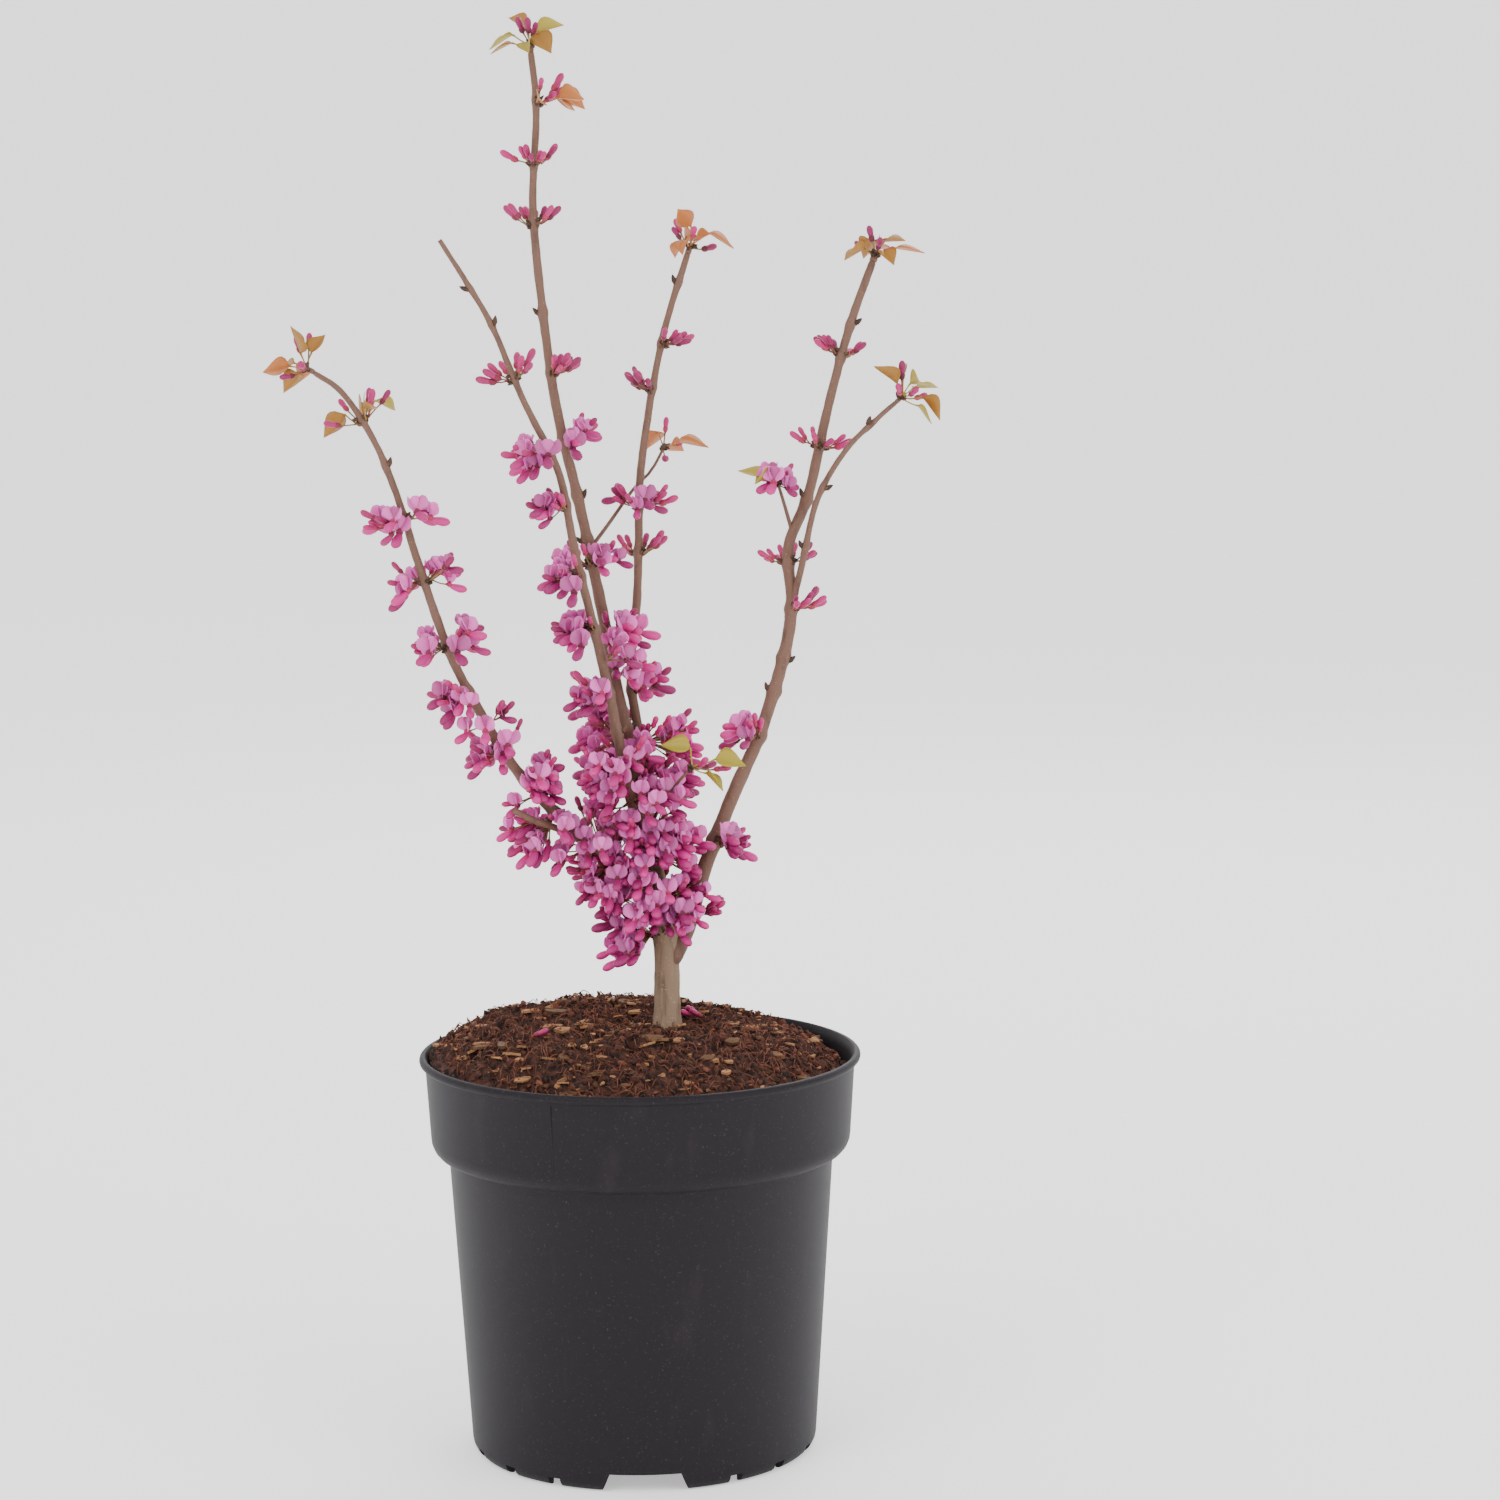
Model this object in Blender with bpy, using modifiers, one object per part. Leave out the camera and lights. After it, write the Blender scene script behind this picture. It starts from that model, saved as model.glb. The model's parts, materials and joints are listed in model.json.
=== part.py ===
"""Young Chinese redbud in flower, in a round nursery pot filled with peaty compost.

Every size below is in millimetres and is turned to metres when a shape is made.
The origin is the middle of the pot's underside, Z is up and the front of the plant faces -Y.
"""

import math
import random
from collections import namedtuple

import bmesh
import bpy
from mathutils import Matrix, Vector
from mathutils.kdtree import KDTree

MM = 0.001
GAP = 0.3
FLAT_SIDE_ALLOWANCE = 1.2
WELD = 1e-6
PROFILE_WELD = 1e-5

# Nursery pot: rim, collar band, tapering body and the foot with its ring groove
POT_HEIGHT = 173.0
RIM_RADIUS = 95.2
LIP_HEIGHT = 3.8
COLLAR_TOP_RADIUS = 92.7
COLLAR_FOOT_RADIUS = 90.6
COLLAR_HEIGHT = 43.0
BODY_TOP_RADIUS = 83.0
BODY_FOOT_RADIUS = 75.0
WALL = 1.5
SKIRT_RADIUS = 70.0
DISC_RADIUS = 47.5
GROOVE_HEIGHT = 9.0
ROUND_STEPS = 32

# Openings in the pot's foot
NOTCH_ANGLES = (0, 120, 240)
NOTCH_TOP_WIDTH = 30.0
NOTCH_FOOT_WIDTH = 37.0
NOTCH_HEIGHT = 8.0
SLITS_FROM_NOTCH = (31, 50, 70, 89)
SLIT_WIDTH = 6.0
SLIT_HEIGHT = 4.0
DRAIN_HOLES = 6
DRAIN_RADIUS = 4.5
DRAIN_CIRCLE = 60.5

# Compost: a mound that is lowest at the right edge
SOIL_RADIUS = 89.6
SOIL_EDGE_HEIGHT = 167.5
SOIL_MOUND = 17.0
SOIL_FALL_RIGHT = 5.0
SOIL_RISE_BACK = 4.0
SOIL_LUMP = 0.8
SOIL_RINGS = 5
SOIL_SEAT_MARGIN = 1.4
SOIL_SMOOTH_SEAT = 30.0

# Trunk and boughs: each starts inside its parent and is cut back to a clear gap
TRUNK_FOOT = (12, 0, 182)
TRUNK_FOOT_FLARE = 1.5
TRUNK_FLARE_HEIGHT = 9.0
Limb = namedtuple("Limb", "parent foot tip stations route")
LIMBS = {
    "trunk": Limb(
        None, 11.8, 7.6, 14,
        (TRUNK_FOOT, (12, 0, 193), (12, 0, 206), (11, 0, 224), (8, 1, 243), (5, 2, 261), (2, 4, 280)),
    ),
    "right_bough": Limb(
        "trunk", 6.9, 3.4, 28,
        ((11, 0, 211), (20, 2, 223), (29, 6, 252), (42, 14, 283), (54, 20, 309), (65, 26, 343),
         (68, 28, 365), (67, 30, 388), (76, 32, 411), (85, 35, 449), (95, 38, 484), (105, 40, 511)),
    ),
    "left_bough": Limb(
        "trunk", 5.6, 2.2, 26,
        ((7, 1, 243), (-16, -6, 262), (-34, -11, 278), (-53, -17, 301), (-68, -22, 328), (-78, -26, 350),
         (-88, -30, 381), (-98, -34, 416), (-107, -37, 439), (-119, -39, 458), (-131, -40, 467)),
    ),
    "front_stem": Limb(
        "trunk", 5.0, 2.0, 24,
        ((5, 2, 261), (-3, -9, 285), (-9, -12, 318), (-16, -16, 352), (-25, -22, 392), (-31, -26, 424),
         (-45, -30, 454), (-57, -33, 484), (-67, -36, 502), (-78, -38, 520)),
    ),
    "middle_stem": Limb(
        "trunk", 4.4, 2.8, 22,
        ((4, 3, 266), (4, 13, 292), (-2, 17, 332), (1, 22, 366), (2, 26, 390), (3, 29, 418),
         (8, 33, 452), (15, 37, 484), (25, 40, 515)),
    ),
    "leader_bough": Limb(
        "trunk", 5.8, 2.8, 26,
        ((3, 4, 277), (-8, 8, 329), (-13, 10, 358), (-23, 12, 408), (-32, 14, 448), (-38, 16, 495),
         (-41, 17, 535), (-39, 18, 575), (-41, 18, 600)),
    ),
    "right_fork": Limb(
        "right_bough", 3.2, 2.0, 14,
        ((67, 28, 357), (73, 24, 383), (79, 18, 409), (91, 14, 430), (104, 12, 443), (113, 10, 451)),
    ),
    "cut_stub": Limb(
        "left_bough", 3.4, 2.6, 6,
        ((-24, -8, 268), (-34, -18, 273), (-43, -23, 277), (-52, -26, 282)),
    ),
}

# Thin leafy twigs: each is fused with what grows at its end
Twig = namedtuple("Twig", "parent foot tip stations route stage")
TWIGS = {
    "leaf_twig": Twig(
        "trunk", 1.7, 1.2, 6, ((5, 3, 268), (10, -3, 280), (17, -8, 290), (24, -10, 298)), "leafy_end"),
    "crossing_twig": Twig(
        "leader_bough", 1.8, 1.2, 9,
        ((-19, 11, 389), (-11, 19, 399), (0, 38, 413), (8, 41, 421), (14, 37, 432)), "leafy_end"),
    "right_spur": Twig(
        "right_bough", 1.9, 1.3, 6, ((69, 31, 393), (65, 28, 407), (62, 26, 417)), "flower_end"),
}

# Clusters on each limb: height above the ground, the side they stand on, and how far they have opened
CLUSTERS = {
    "trunk": (
        (225, "left", "crowded"), (236, "front", "crowded"), (243, "back", "crowded"),
        (257, "right", "crowded")),
    "right_bough": (
        (232, "right", "budded"), (263, "right", "opening"), (307, "left", "opening"),
        (361, "right", "budded"), (381, "both", "budded"), (432, "both", "budded"),
        (469, "both", "budded"), (511, "end", "tip")),
    "left_bough": (
        (257, "both", "crowded"), (278, "both", "crowded"), (293, "right", "open"),
        (307, "both", "open"), (332, "left", "open"), (351, "both", "open"), (380, "both", "open"),
        (405, "both", "open"), (447, "both", "leafy"), (467, "end", "tip")),
    "front_stem": (
        (294, "left", "crowded"), (330, "left", "open"), (357, "left", "open"), (380, "left", "open"),
        (410, "left", "opening"), (433, "left", "open"), (463, "both", "budded")),
    "middle_stem": (
        (304, "right", "crowded"), (328, "right", "open"), (387, "both", "budded"),
        (406, "both", "opening"), (457, "left", "budded"), (476, "right", "budded"), (515, "end", "tip")),
    "leader_bough": (
        (290, "right", "crowded"), (312, "back", "crowded"), (352, "right", "open"),
        (383, "both", "open"), (436, "right", "opening"), (464, "right", "budded"),
        (528, "both", "budded"), (552, "both", "budded"), (579, "right", "leafy"), (600, "end", "tip")),
    "right_fork": ((451, "end", "tip"),),
}
SIDES = {
    "left": Vector((-1, -0.25, 0)),
    "right": Vector((1, -0.25, 0)),
    "front": Vector((0.1, -1, 0)),
    "back": Vector((-0.1, 1, 0)),
    "both": Vector((-0.2, -1, 0)),
    "end": Vector((1, 0, 0)),
}
ONE_SIDED_ARC = 170.0
BOTH_SIDED_ARC = 290.0
END_ARC = 360.0
RING_RADIUS = 0.8
RING_STEP = 55.0
RING_END_MARGIN = 11.0
END_STEM_LENGTH = 3.5
CURVE_STEPS = 12

# How many of each grow in a cluster, and how far the cluster reaches
Stage = namedtuple("Stage", "flowers buds leaves reach stalk")
STAGES = {
    "tip": Stage(0, 2, 3, 24.0, 6.0),
    "leafy": Stage(0, 2, 2, 24.0, 6.0),
    "leafy_end": Stage(0, 2, 2, 26.0, 7.0),
    "flower_end": Stage(2, 0, 1, 24.0, 4.0),
    "budded": Stage(0, 4, 0, 16.0, 3.6),
    "opening": Stage(2, 3, 0, 19.0, 4.6),
    "open": Stage(4, 1, 0, 22.0, 6.0),
    "crowded": Stage(7, 1, 0, 31.0, 11.0),
}
PLACING_TRIES = 30
GOLDEN_SHARE = 0.618034
CLEARANCE = 0.55

# Blossom and leaves
STALK_RADIUS = 0.45
BUD_LENGTH = 8.8
BUD_RADIUS = 1.9
KEEL_LENGTH = 11.5
KEEL_RADIUS = 2.2
FAN_WIDTH = 11.0
FAN_HEIGHT = 9.4
FAN_THICKNESS = 2.0
LEAF_LENGTH = 14.0
LEAF_WIDTH = 10.5
LEAF_THICKNESS = 1.0

KEEL_DROOP = 0.5
LEAF_DROOP = (-1.1, 0.3)
LEAF_ROLL = 1.1
RISE = {"bud": (0.05, 0.85), "flower": (-0.75, 0.6), "leaf": (0.1, 1.3)}
STALK_SPREAD = {"bud": (0.55, 1.6), "flower": (0.55, 1.6), "leaf": (0.9, 1.5)}
UPRIGHT = Vector((0, 0, 1))

# Surface colours
PLASTIC_COLOUR = (0.020, 0.019, 0.021)
SOIL_COLOUR = (0.075, 0.026, 0.016)
TRUNK_COLOUR = (0.30, 0.20, 0.13)
BOUGH_COLOUR = (0.27, 0.15, 0.11)
BLOSSOM_COLOUR = (0.56, 0.05, 0.26)
LEAF_COLOUR = (0.48, 0.30, 0.06)


def clear_scene():
    """Remove every object, so that the file holds only the plant."""
    for item in list(bpy.data.objects):
        bpy.data.objects.remove(item, do_unlink=True)


def new_collection(name):
    """Make a collection in the scene."""
    collection = bpy.data.collections.new(name)
    bpy.context.scene.collection.children.link(collection)
    return collection


def plain_material(name, colour, roughness):
    """Make a material of one colour."""
    material = bpy.data.materials.new(name)
    material.use_nodes = True
    shader = material.node_tree.nodes["Principled BSDF"]
    shader.inputs["Base Color"].default_value = (*colour, 1.0)
    shader.inputs["Roughness"].default_value = roughness
    shader.inputs["Metallic"].default_value = 0.0
    material.diffuse_color = (*colour, 1.0)
    return material


def mesh_object(name, shape, collection):
    """Turn a bmesh drawn in millimetres into an object in metres."""
    bmesh.ops.scale(shape, vec=(MM, MM, MM), verts=shape.verts)
    mesh = bpy.data.meshes.new(name)
    shape.to_mesh(mesh)
    shape.free()
    item = bpy.data.objects.new(name, mesh)
    collection.objects.link(item)
    return item


def made_mesh(item, collection):
    """Replace an object by the mesh that its curve or modifiers give."""
    name = item.name
    depsgraph = bpy.context.evaluated_depsgraph_get()
    mesh = bpy.data.meshes.new_from_object(item.evaluated_get(depsgraph))
    placed = item.matrix_world.copy()
    bpy.data.objects.remove(item, do_unlink=True)
    shape = bmesh.new()
    shape.from_mesh(mesh)
    bmesh.ops.remove_doubles(shape, verts=shape.verts, dist=WELD)
    shape.to_mesh(mesh)
    shape.free()
    result = bpy.data.objects.new(name, mesh)
    result.matrix_world = placed
    collection.objects.link(result)
    return result


def cut(item, cutters, collection):
    """Take the cutters out of an object, and keep the result as its mesh."""
    for cutter in cutters:
        cutter.hide_render = True
        cutter.display_type = "WIRE"
        step = item.modifiers.new("cut", "BOOLEAN")
        step.operation = "DIFFERENCE"
        step.object = cutter
    result = made_mesh(item, collection)
    for cutter in cutters:
        bpy.data.objects.remove(cutter, do_unlink=True)
    return result


def finish_part(item, material, smooth_angle=40.0):
    """Give a part its material and smooth shading."""
    item.data.materials.clear()
    item.data.materials.append(material)
    item.data.shade_smooth()
    item.data.set_sharp_from_angle(angle=math.radians(smooth_angle))


def turned_solid(name, profile, steps, collection):
    """Turn a profile of radius and height about the upright axis."""
    shape = bmesh.new()
    points = [shape.verts.new((radius, 0, height)) for radius, height in profile]
    for first, second in zip(points, points[1:]):
        shape.edges.new((first, second))
    item = mesh_object(name, shape, collection)
    screw = item.modifiers.new("turn", "SCREW")
    screw.steps = steps
    screw.render_steps = steps
    screw.use_merge_vertices = True
    screw.merge_threshold = PROFILE_WELD
    return made_mesh(item, collection)


def pot_profile():
    """Section of the pot wall: inside of the floor, up, over the lip, down outside, underside."""
    floor = GROOVE_HEIGHT + WALL
    collar_foot = POT_HEIGHT - COLLAR_HEIGHT
    lip_foot = POT_HEIGHT - LIP_HEIGHT
    inside = [
        (0, WALL),
        (DISC_RADIUS - WALL, WALL),
        (DISC_RADIUS + 3.0, floor),
        (BODY_FOOT_RADIUS - WALL, floor),
        (BODY_TOP_RADIUS - WALL, collar_foot + 1.0),
        (COLLAR_FOOT_RADIUS - 2.2, collar_foot + 4.6),
        (COLLAR_TOP_RADIUS - 1.8, lip_foot),
    ]
    lip = [
        (RIM_RADIUS - 2.2, POT_HEIGHT),
        (RIM_RADIUS - 0.6, POT_HEIGHT - 0.4),
        (RIM_RADIUS, POT_HEIGHT - 1.8),
        (RIM_RADIUS - 0.5, POT_HEIGHT - 3.2),
        (COLLAR_TOP_RADIUS, lip_foot),
    ]
    outside = [
        (COLLAR_FOOT_RADIUS, collar_foot + 7.0),
        (COLLAR_FOOT_RADIUS - 1.2, collar_foot + 3.0),
        (COLLAR_FOOT_RADIUS - 4.2, collar_foot + 0.6),
        (BODY_TOP_RADIUS, collar_foot),
        (BODY_FOOT_RADIUS, 5.0),
        (BODY_FOOT_RADIUS - 1.1, 1.6),
        (BODY_FOOT_RADIUS - 3.8, 0),
    ]
    underside = [
        (SKIRT_RADIUS, 0),
        (SKIRT_RADIUS, GROOVE_HEIGHT),
        (DISC_RADIUS + 4.0, GROOVE_HEIGHT),
        (DISC_RADIUS, 0),
        (0, 0),
    ]
    return inside + lip + outside + underside


def foot_cutter(width_top, width_foot, height, angle, collection):
    """A wedge through the pot's skirt, turned to its place round the foot."""
    shape = bmesh.new()
    bmesh.ops.create_cube(shape, size=1.0)
    drop = 1.0
    for corner in shape.verts:
        top = corner.co.z > 0
        width = width_top if top else width_foot
        corner.co.x *= width
        corner.co.y = -(SKIRT_RADIUS - 3.0) if corner.co.y > 0 else -(BODY_FOOT_RADIUS + 3.0)
        corner.co.z = height if top else -drop
    turn = Matrix.Rotation(math.radians(angle), 4, "Z")
    bmesh.ops.transform(shape, matrix=turn, verts=shape.verts)
    return mesh_object("foot_cutter", shape, collection)


def drain_cutter(angle, collection):
    """A short cylinder through the ceiling of the ring groove."""
    shape = bmesh.new()
    bmesh.ops.create_cone(
        shape, cap_ends=True, segments=10, radius1=DRAIN_RADIUS, radius2=DRAIN_RADIUS, depth=WALL * 3)
    place = Matrix.Rotation(math.radians(angle), 4, "Z") @ Matrix.Translation(
        (DRAIN_CIRCLE, 0, GROOVE_HEIGHT + WALL / 2))
    bmesh.ops.transform(shape, matrix=place, verts=shape.verts)
    return mesh_object("drain_cutter", shape, collection)


def make_pot(parts, cutters):
    """Turn the pot, then cut its drain notches, slits and holes."""
    pot = turned_solid("pot", pot_profile(), ROUND_STEPS, parts)
    tools = []
    for notch in NOTCH_ANGLES:
        tools.append(foot_cutter(NOTCH_TOP_WIDTH, NOTCH_FOOT_WIDTH, NOTCH_HEIGHT, notch, cutters))
        for step in SLITS_FROM_NOTCH:
            tools.append(foot_cutter(SLIT_WIDTH, SLIT_WIDTH, SLIT_HEIGHT, notch + step, cutters))
    for hole in range(DRAIN_HOLES):
        tools.append(drain_cutter(hole * 360 / DRAIN_HOLES, cutters))
    pot = cut(pot, tools, parts)
    finish_part(pot, plain_material("pot_plastic", PLASTIC_COLOUR, 0.42))
    return pot


def soil_height(x, y):
    """Height of the compost at a place: a flat-topped mound with shallow lumps."""
    outward = math.hypot(x, y) / SOIL_RADIUS
    mound = SOIL_EDGE_HEIGHT + SOIL_MOUND * (1 - outward ** 4)
    slope = SOIL_RISE_BACK * y / SOIL_RADIUS - SOIL_FALL_RIGHT * x / SOIL_RADIUS
    from_trunk = min(1.0, math.hypot(x - TRUNK_FOOT[0], y - TRUNK_FOOT[1]) / SOIL_SMOOTH_SEAT)
    lumps = math.sin(x * 0.19 + 1.3) * math.cos(y * 0.16) + 0.6 * math.sin(x * 0.41 - y * 0.33)
    return mound + slope + SOIL_LUMP * lumps * from_trunk


def soil_profile():
    """Section of the compost plug: across the top, down the pot's inside and across its floor."""
    floor = GROOVE_HEIGHT + WALL + 0.4
    collar_foot = POT_HEIGHT - COLLAR_HEIGHT
    top = [(SOIL_RADIUS * ring / SOIL_RINGS, SOIL_EDGE_HEIGHT) for ring in range(SOIL_RINGS + 1)]
    side = [
        (COLLAR_FOOT_RADIUS - 2.9, collar_foot + 5.4),
        (BODY_TOP_RADIUS - WALL - 0.6, collar_foot + 2.0),
        (BODY_FOOT_RADIUS - WALL - 0.6, floor),
    ]
    foot = [
        (DISC_RADIUS + 2.5, floor),
        (DISC_RADIUS - WALL - 0.5, WALL + 0.4),
        (0, WALL + 0.4),
    ]
    return top + side + foot


def make_soil(parts, cutters):
    """Turn the compost plug, raise its top into the mound and sink a seat for the trunk."""
    soil = turned_solid("soil", soil_profile(), ROUND_STEPS, parts)
    lowest_top = (SOIL_EDGE_HEIGHT - 1.0) * MM
    for corner in soil.data.vertices:
        if corner.co.z > lowest_top:
            corner.co.z = soil_height(corner.co.x / MM, corner.co.y / MM) * MM
    seat = bmesh.new()
    width = LIMBS["trunk"].foot / 2 + TRUNK_FOOT_FLARE + SOIL_SEAT_MARGIN
    depth = SOIL_MOUND
    bmesh.ops.create_cone(seat, cap_ends=True, segments=16, radius1=width, radius2=width, depth=depth)
    bmesh.ops.translate(seat, verts=seat.verts, vec=Vector(TRUNK_FOOT) + UPRIGHT * (depth / 2 - GAP))
    soil = cut(soil, [mesh_object("seat_cutter", seat, cutters)], parts)
    finish_part(soil, plain_material("peaty_compost", SOIL_COLOUR, 0.95), 80.0)
    return soil


def smooth_route(waypoints, stations):
    """Evenly spaced points on a smooth curve through the waypoints."""
    points = [Vector(point) for point in waypoints]
    points.insert(0, points[0] * 2 - points[1])
    points.append(points[-1] * 2 - points[-2])
    fine = []
    for a, b, c, d in zip(points, points[1:], points[2:], points[3:]):
        for step in range(CURVE_STEPS):
            t = step / CURVE_STEPS
            line = b * 2 + (c - a) * t + (a * 2 - b * 5 + c * 4 - d) * t ** 2
            fine.append((line + (b * 3 - a - c * 3 + d) * t ** 3) / 2)
    fine.append(points[-2])
    lengths = [0.0]
    for first, second in zip(fine, fine[1:]):
        lengths.append(lengths[-1] + (second - first).length)
    route = []
    place = 0
    for station in range(stations):
        wanted = lengths[-1] * station / (stations - 1)
        while place < len(fine) - 2 and lengths[place + 1] < wanted:
            place += 1
        share = (wanted - lengths[place]) / (lengths[place + 1] - lengths[place])
        route.append(fine[place].lerp(fine[place + 1], share))
    return route


def limb_radius(limb, name, share, height):
    """Radius of a limb at a share of its length; the trunk also flares at its foot."""
    radius = (limb.foot + (limb.tip - limb.foot) * share) / 2
    if name == "trunk":
        above = (height - limb.route[0][2]) / TRUNK_FLARE_HEIGHT
        radius += TRUNK_FOOT_FLARE * max(0.0, 1 - above) ** 2
    return radius


def limb_stations(name, limb, stations=None):
    """Points along a limb, each with its radius."""
    route = smooth_route(limb.route, stations or limb.stations)
    last = len(route) - 1
    return [(point, limb_radius(limb, name, place / last, point.z)) for place, point in enumerate(route)]


def tube(name, stations, collection, resolution=1):
    """A closed tube of changing radius along the stations; resolution 1 gives it six sides."""
    curve = bpy.data.curves.new(name, "CURVE")
    curve.dimensions = "3D"
    curve.bevel_depth = MM
    curve.bevel_resolution = resolution
    curve.use_fill_caps = True
    line = curve.splines.new("POLY")
    line.points.add(len(stations) - 1)
    for knot, (point, radius) in zip(line.points, stations):
        knot.co = (*(point * MM), 1.0)
        knot.radius = radius
    item = bpy.data.objects.new(name, curve)
    collection.objects.link(item)
    return made_mesh(item, collection)


def grown_copy(name, stations, collection):
    """A parent limb made one gap larger all round, to cut its children back with."""
    larger = [(point, radius + GAP * FLAT_SIDE_ALLOWANCE) for point, radius in stations]
    start = (stations[0][0] - stations[1][0]).normalized() * GAP
    end = (stations[-1][0] - stations[-2][0]).normalized() * GAP
    larger[0] = (larger[0][0] + start, larger[0][1])
    larger[-1] = (larger[-1][0] + end, larger[-1][1])
    return tube(name, larger, collection)


def make_limbs(parts, cutters):
    """Sweep the trunk and every bough, each cut clear of the limb that it leaves."""
    trunk_bark = plain_material("trunk_bark", TRUNK_COLOUR, 0.85)
    bough_bark = plain_material("bough_bark", BOUGH_COLOUR, 0.75)
    for name, limb in LIMBS.items():
        item = tube(name, limb_stations(name, limb), parts)
        if limb.parent:
            parent = limb_stations(limb.parent, LIMBS[limb.parent])
            item = cut(item, [grown_copy("limb_cutter", parent, cutters)], parts)
        finish_part(item, bough_bark if limb.parent else trunk_bark)


class Obstacles:
    """The limbs and twigs as rows of balls, so that blossom can be kept off them."""

    def __init__(self):
        self.balls = []
        for group in (LIMBS, TWIGS):
            for name, limb in group.items():
                for point, radius in limb_stations(name, limb, limb.stations * 8):
                    self.balls.append((point, radius, name))
        self.tree = KDTree(len(self.balls))
        for index, ball in enumerate(self.balls):
            self.tree.insert(ball[0], index)
        self.tree.balance()
        self.widest = max(radius for _, radius, _ in self.balls)

    def touches(self, point, radius, own_twig):
        """Tell whether a ball comes nearer than the clearance to a limb."""
        near = self.tree.find_range(point, radius + self.widest + CLEARANCE)
        for _, index, distance in near:
            _, limb_width, name = self.balls[index]
            if name != own_twig and distance < radius + limb_width + CLEARANCE:
                return True
        return False


Spot = namedtuple("Spot", "name centre along side across radius arc stage twig")


def spot_on_limb(name, limb_name, limb, height, side, stage, number):
    """Where a cluster stands: the limb's point at that height, and three directions there."""
    stations = limb_stations(limb_name, limb, limb.stations * 4)
    place = min(range(len(stations)), key=lambda index: abs(stations[index][0].z - height))
    if side == "end":
        place = len(stations)
    place = max(1, min(place, len(stations) - 2))
    along = (stations[place + 1][0] - stations[place - 1][0]).normalized()
    centre, radius = stations[place]
    arc = ONE_SIDED_ARC
    facing = SIDES[side].copy()
    if side == "both":
        arc = BOTH_SIDED_ARC
        facing = -facing if number % 2 else facing
    if side == "end":
        arc = END_ARC
        centre = stations[-1][0] + along * GAP
    facing = (facing - along * facing.dot(along)).normalized()
    return Spot(name, centre, along, facing, along.cross(facing), radius, arc, stage, None)


def all_spots():
    """Every cluster and twig end of the plant, in order."""
    spots = []
    for limb_name, rows in CLUSTERS.items():
        for number, (height, side, stage) in enumerate(rows, 1):
            kind = "leaves" if STAGES[stage].leaves else "blossom"
            name = f"{limb_name}_{kind}_{number}"
            spots.append(spot_on_limb(name, limb_name, LIMBS[limb_name], height, side, stage, number))
    for name, twig in TWIGS.items():
        spot = spot_on_limb(name, name, twig, 0, "end", twig.stage, 0)
        sunk = spot.centre - spot.along * (GAP + END_STEM_LENGTH)
        spots.append(spot._replace(centre=sunk, twig=name))
    return spots


def spot_middle(spot):
    """Middle of the space that a cluster fills."""
    if spot.arc > ONE_SIDED_ARC:
        return spot.centre + spot.along * 2.0
    return spot.centre + spot.side * (spot.radius + STAGES[spot.stage].stalk)


Growth = namedtuple("Growth", "kind root end out up balls")


def new_bud(root, end, heading):
    """A closed bud that bends a little upward off its stalk."""
    out = (heading + UPRIGHT * 0.25).normalized()
    balls = [(end + out * BUD_LENGTH * share, BUD_RADIUS) for share in (0.15, 0.45, 0.75)]
    return Growth("bud", root, end, out, UPRIGHT, balls)


def new_leaf(root, end, level, chance):
    """A young leaf that droops from its stalk, rolled about its own length."""
    out = (level + UPRIGHT * chance.uniform(*LEAF_DROOP)).normalized()
    roll = Matrix.Rotation(chance.uniform(-LEAF_ROLL, LEAF_ROLL), 3, out)
    face = roll @ (UPRIGHT - out * UPRIGHT.dot(out)).normalized()
    sizes = ((0.2, 3.4), (0.42, 4.8), (0.7, 3.4), (0.9, 1.6))
    balls = [(end + out * LEAF_LENGTH * share, radius) for share, radius in sizes]
    return Growth("leaf", root, end, out, face, balls)


def new_flower(root, end, level):
    """An open flower: the keel points out and down, the paler petals stand up behind it."""
    up = (UPRIGHT - level * UPRIGHT.dot(level)).normalized()
    across = level.cross(up)
    keel = keel_direction(level, up)
    balls = [
        (end + keel * KEEL_LENGTH * 0.25, KEEL_RADIUS),
        (end + keel * KEEL_LENGTH * 0.62, KEEL_RADIUS),
        (end + keel * KEEL_LENGTH * 0.9, 1.0),
        (end + up * FAN_HEIGHT * 0.62 + across * FAN_WIDTH * 0.29, 2.3),
        (end + up * FAN_HEIGHT * 0.62 - across * FAN_WIDTH * 0.29, 2.3),
        (end + up * FAN_HEIGHT * 0.85, 1.6),
    ]
    return Growth("flower", root, end, level, up, balls)


def keel_direction(out, up):
    """Way in which a flower's keel points."""
    return (out - up * KEEL_DROOP).normalized()


def ring_steps(spot):
    """How many straight steps the cushion round a limb has."""
    return max(3, round(spot.arc / RING_STEP))


def ring_distance(spot, angle):
    """Distance from the limb's axis to the middle of the cushion, which is a polygon."""
    step = math.radians(spot.arc) / ring_steps(spot)
    from_middle = (angle + math.radians(spot.arc) / 2) % step - step / 2
    return (spot.radius + GAP * FLAT_SIDE_ALLOWANCE + RING_RADIUS) / math.cos(from_middle)


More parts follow.
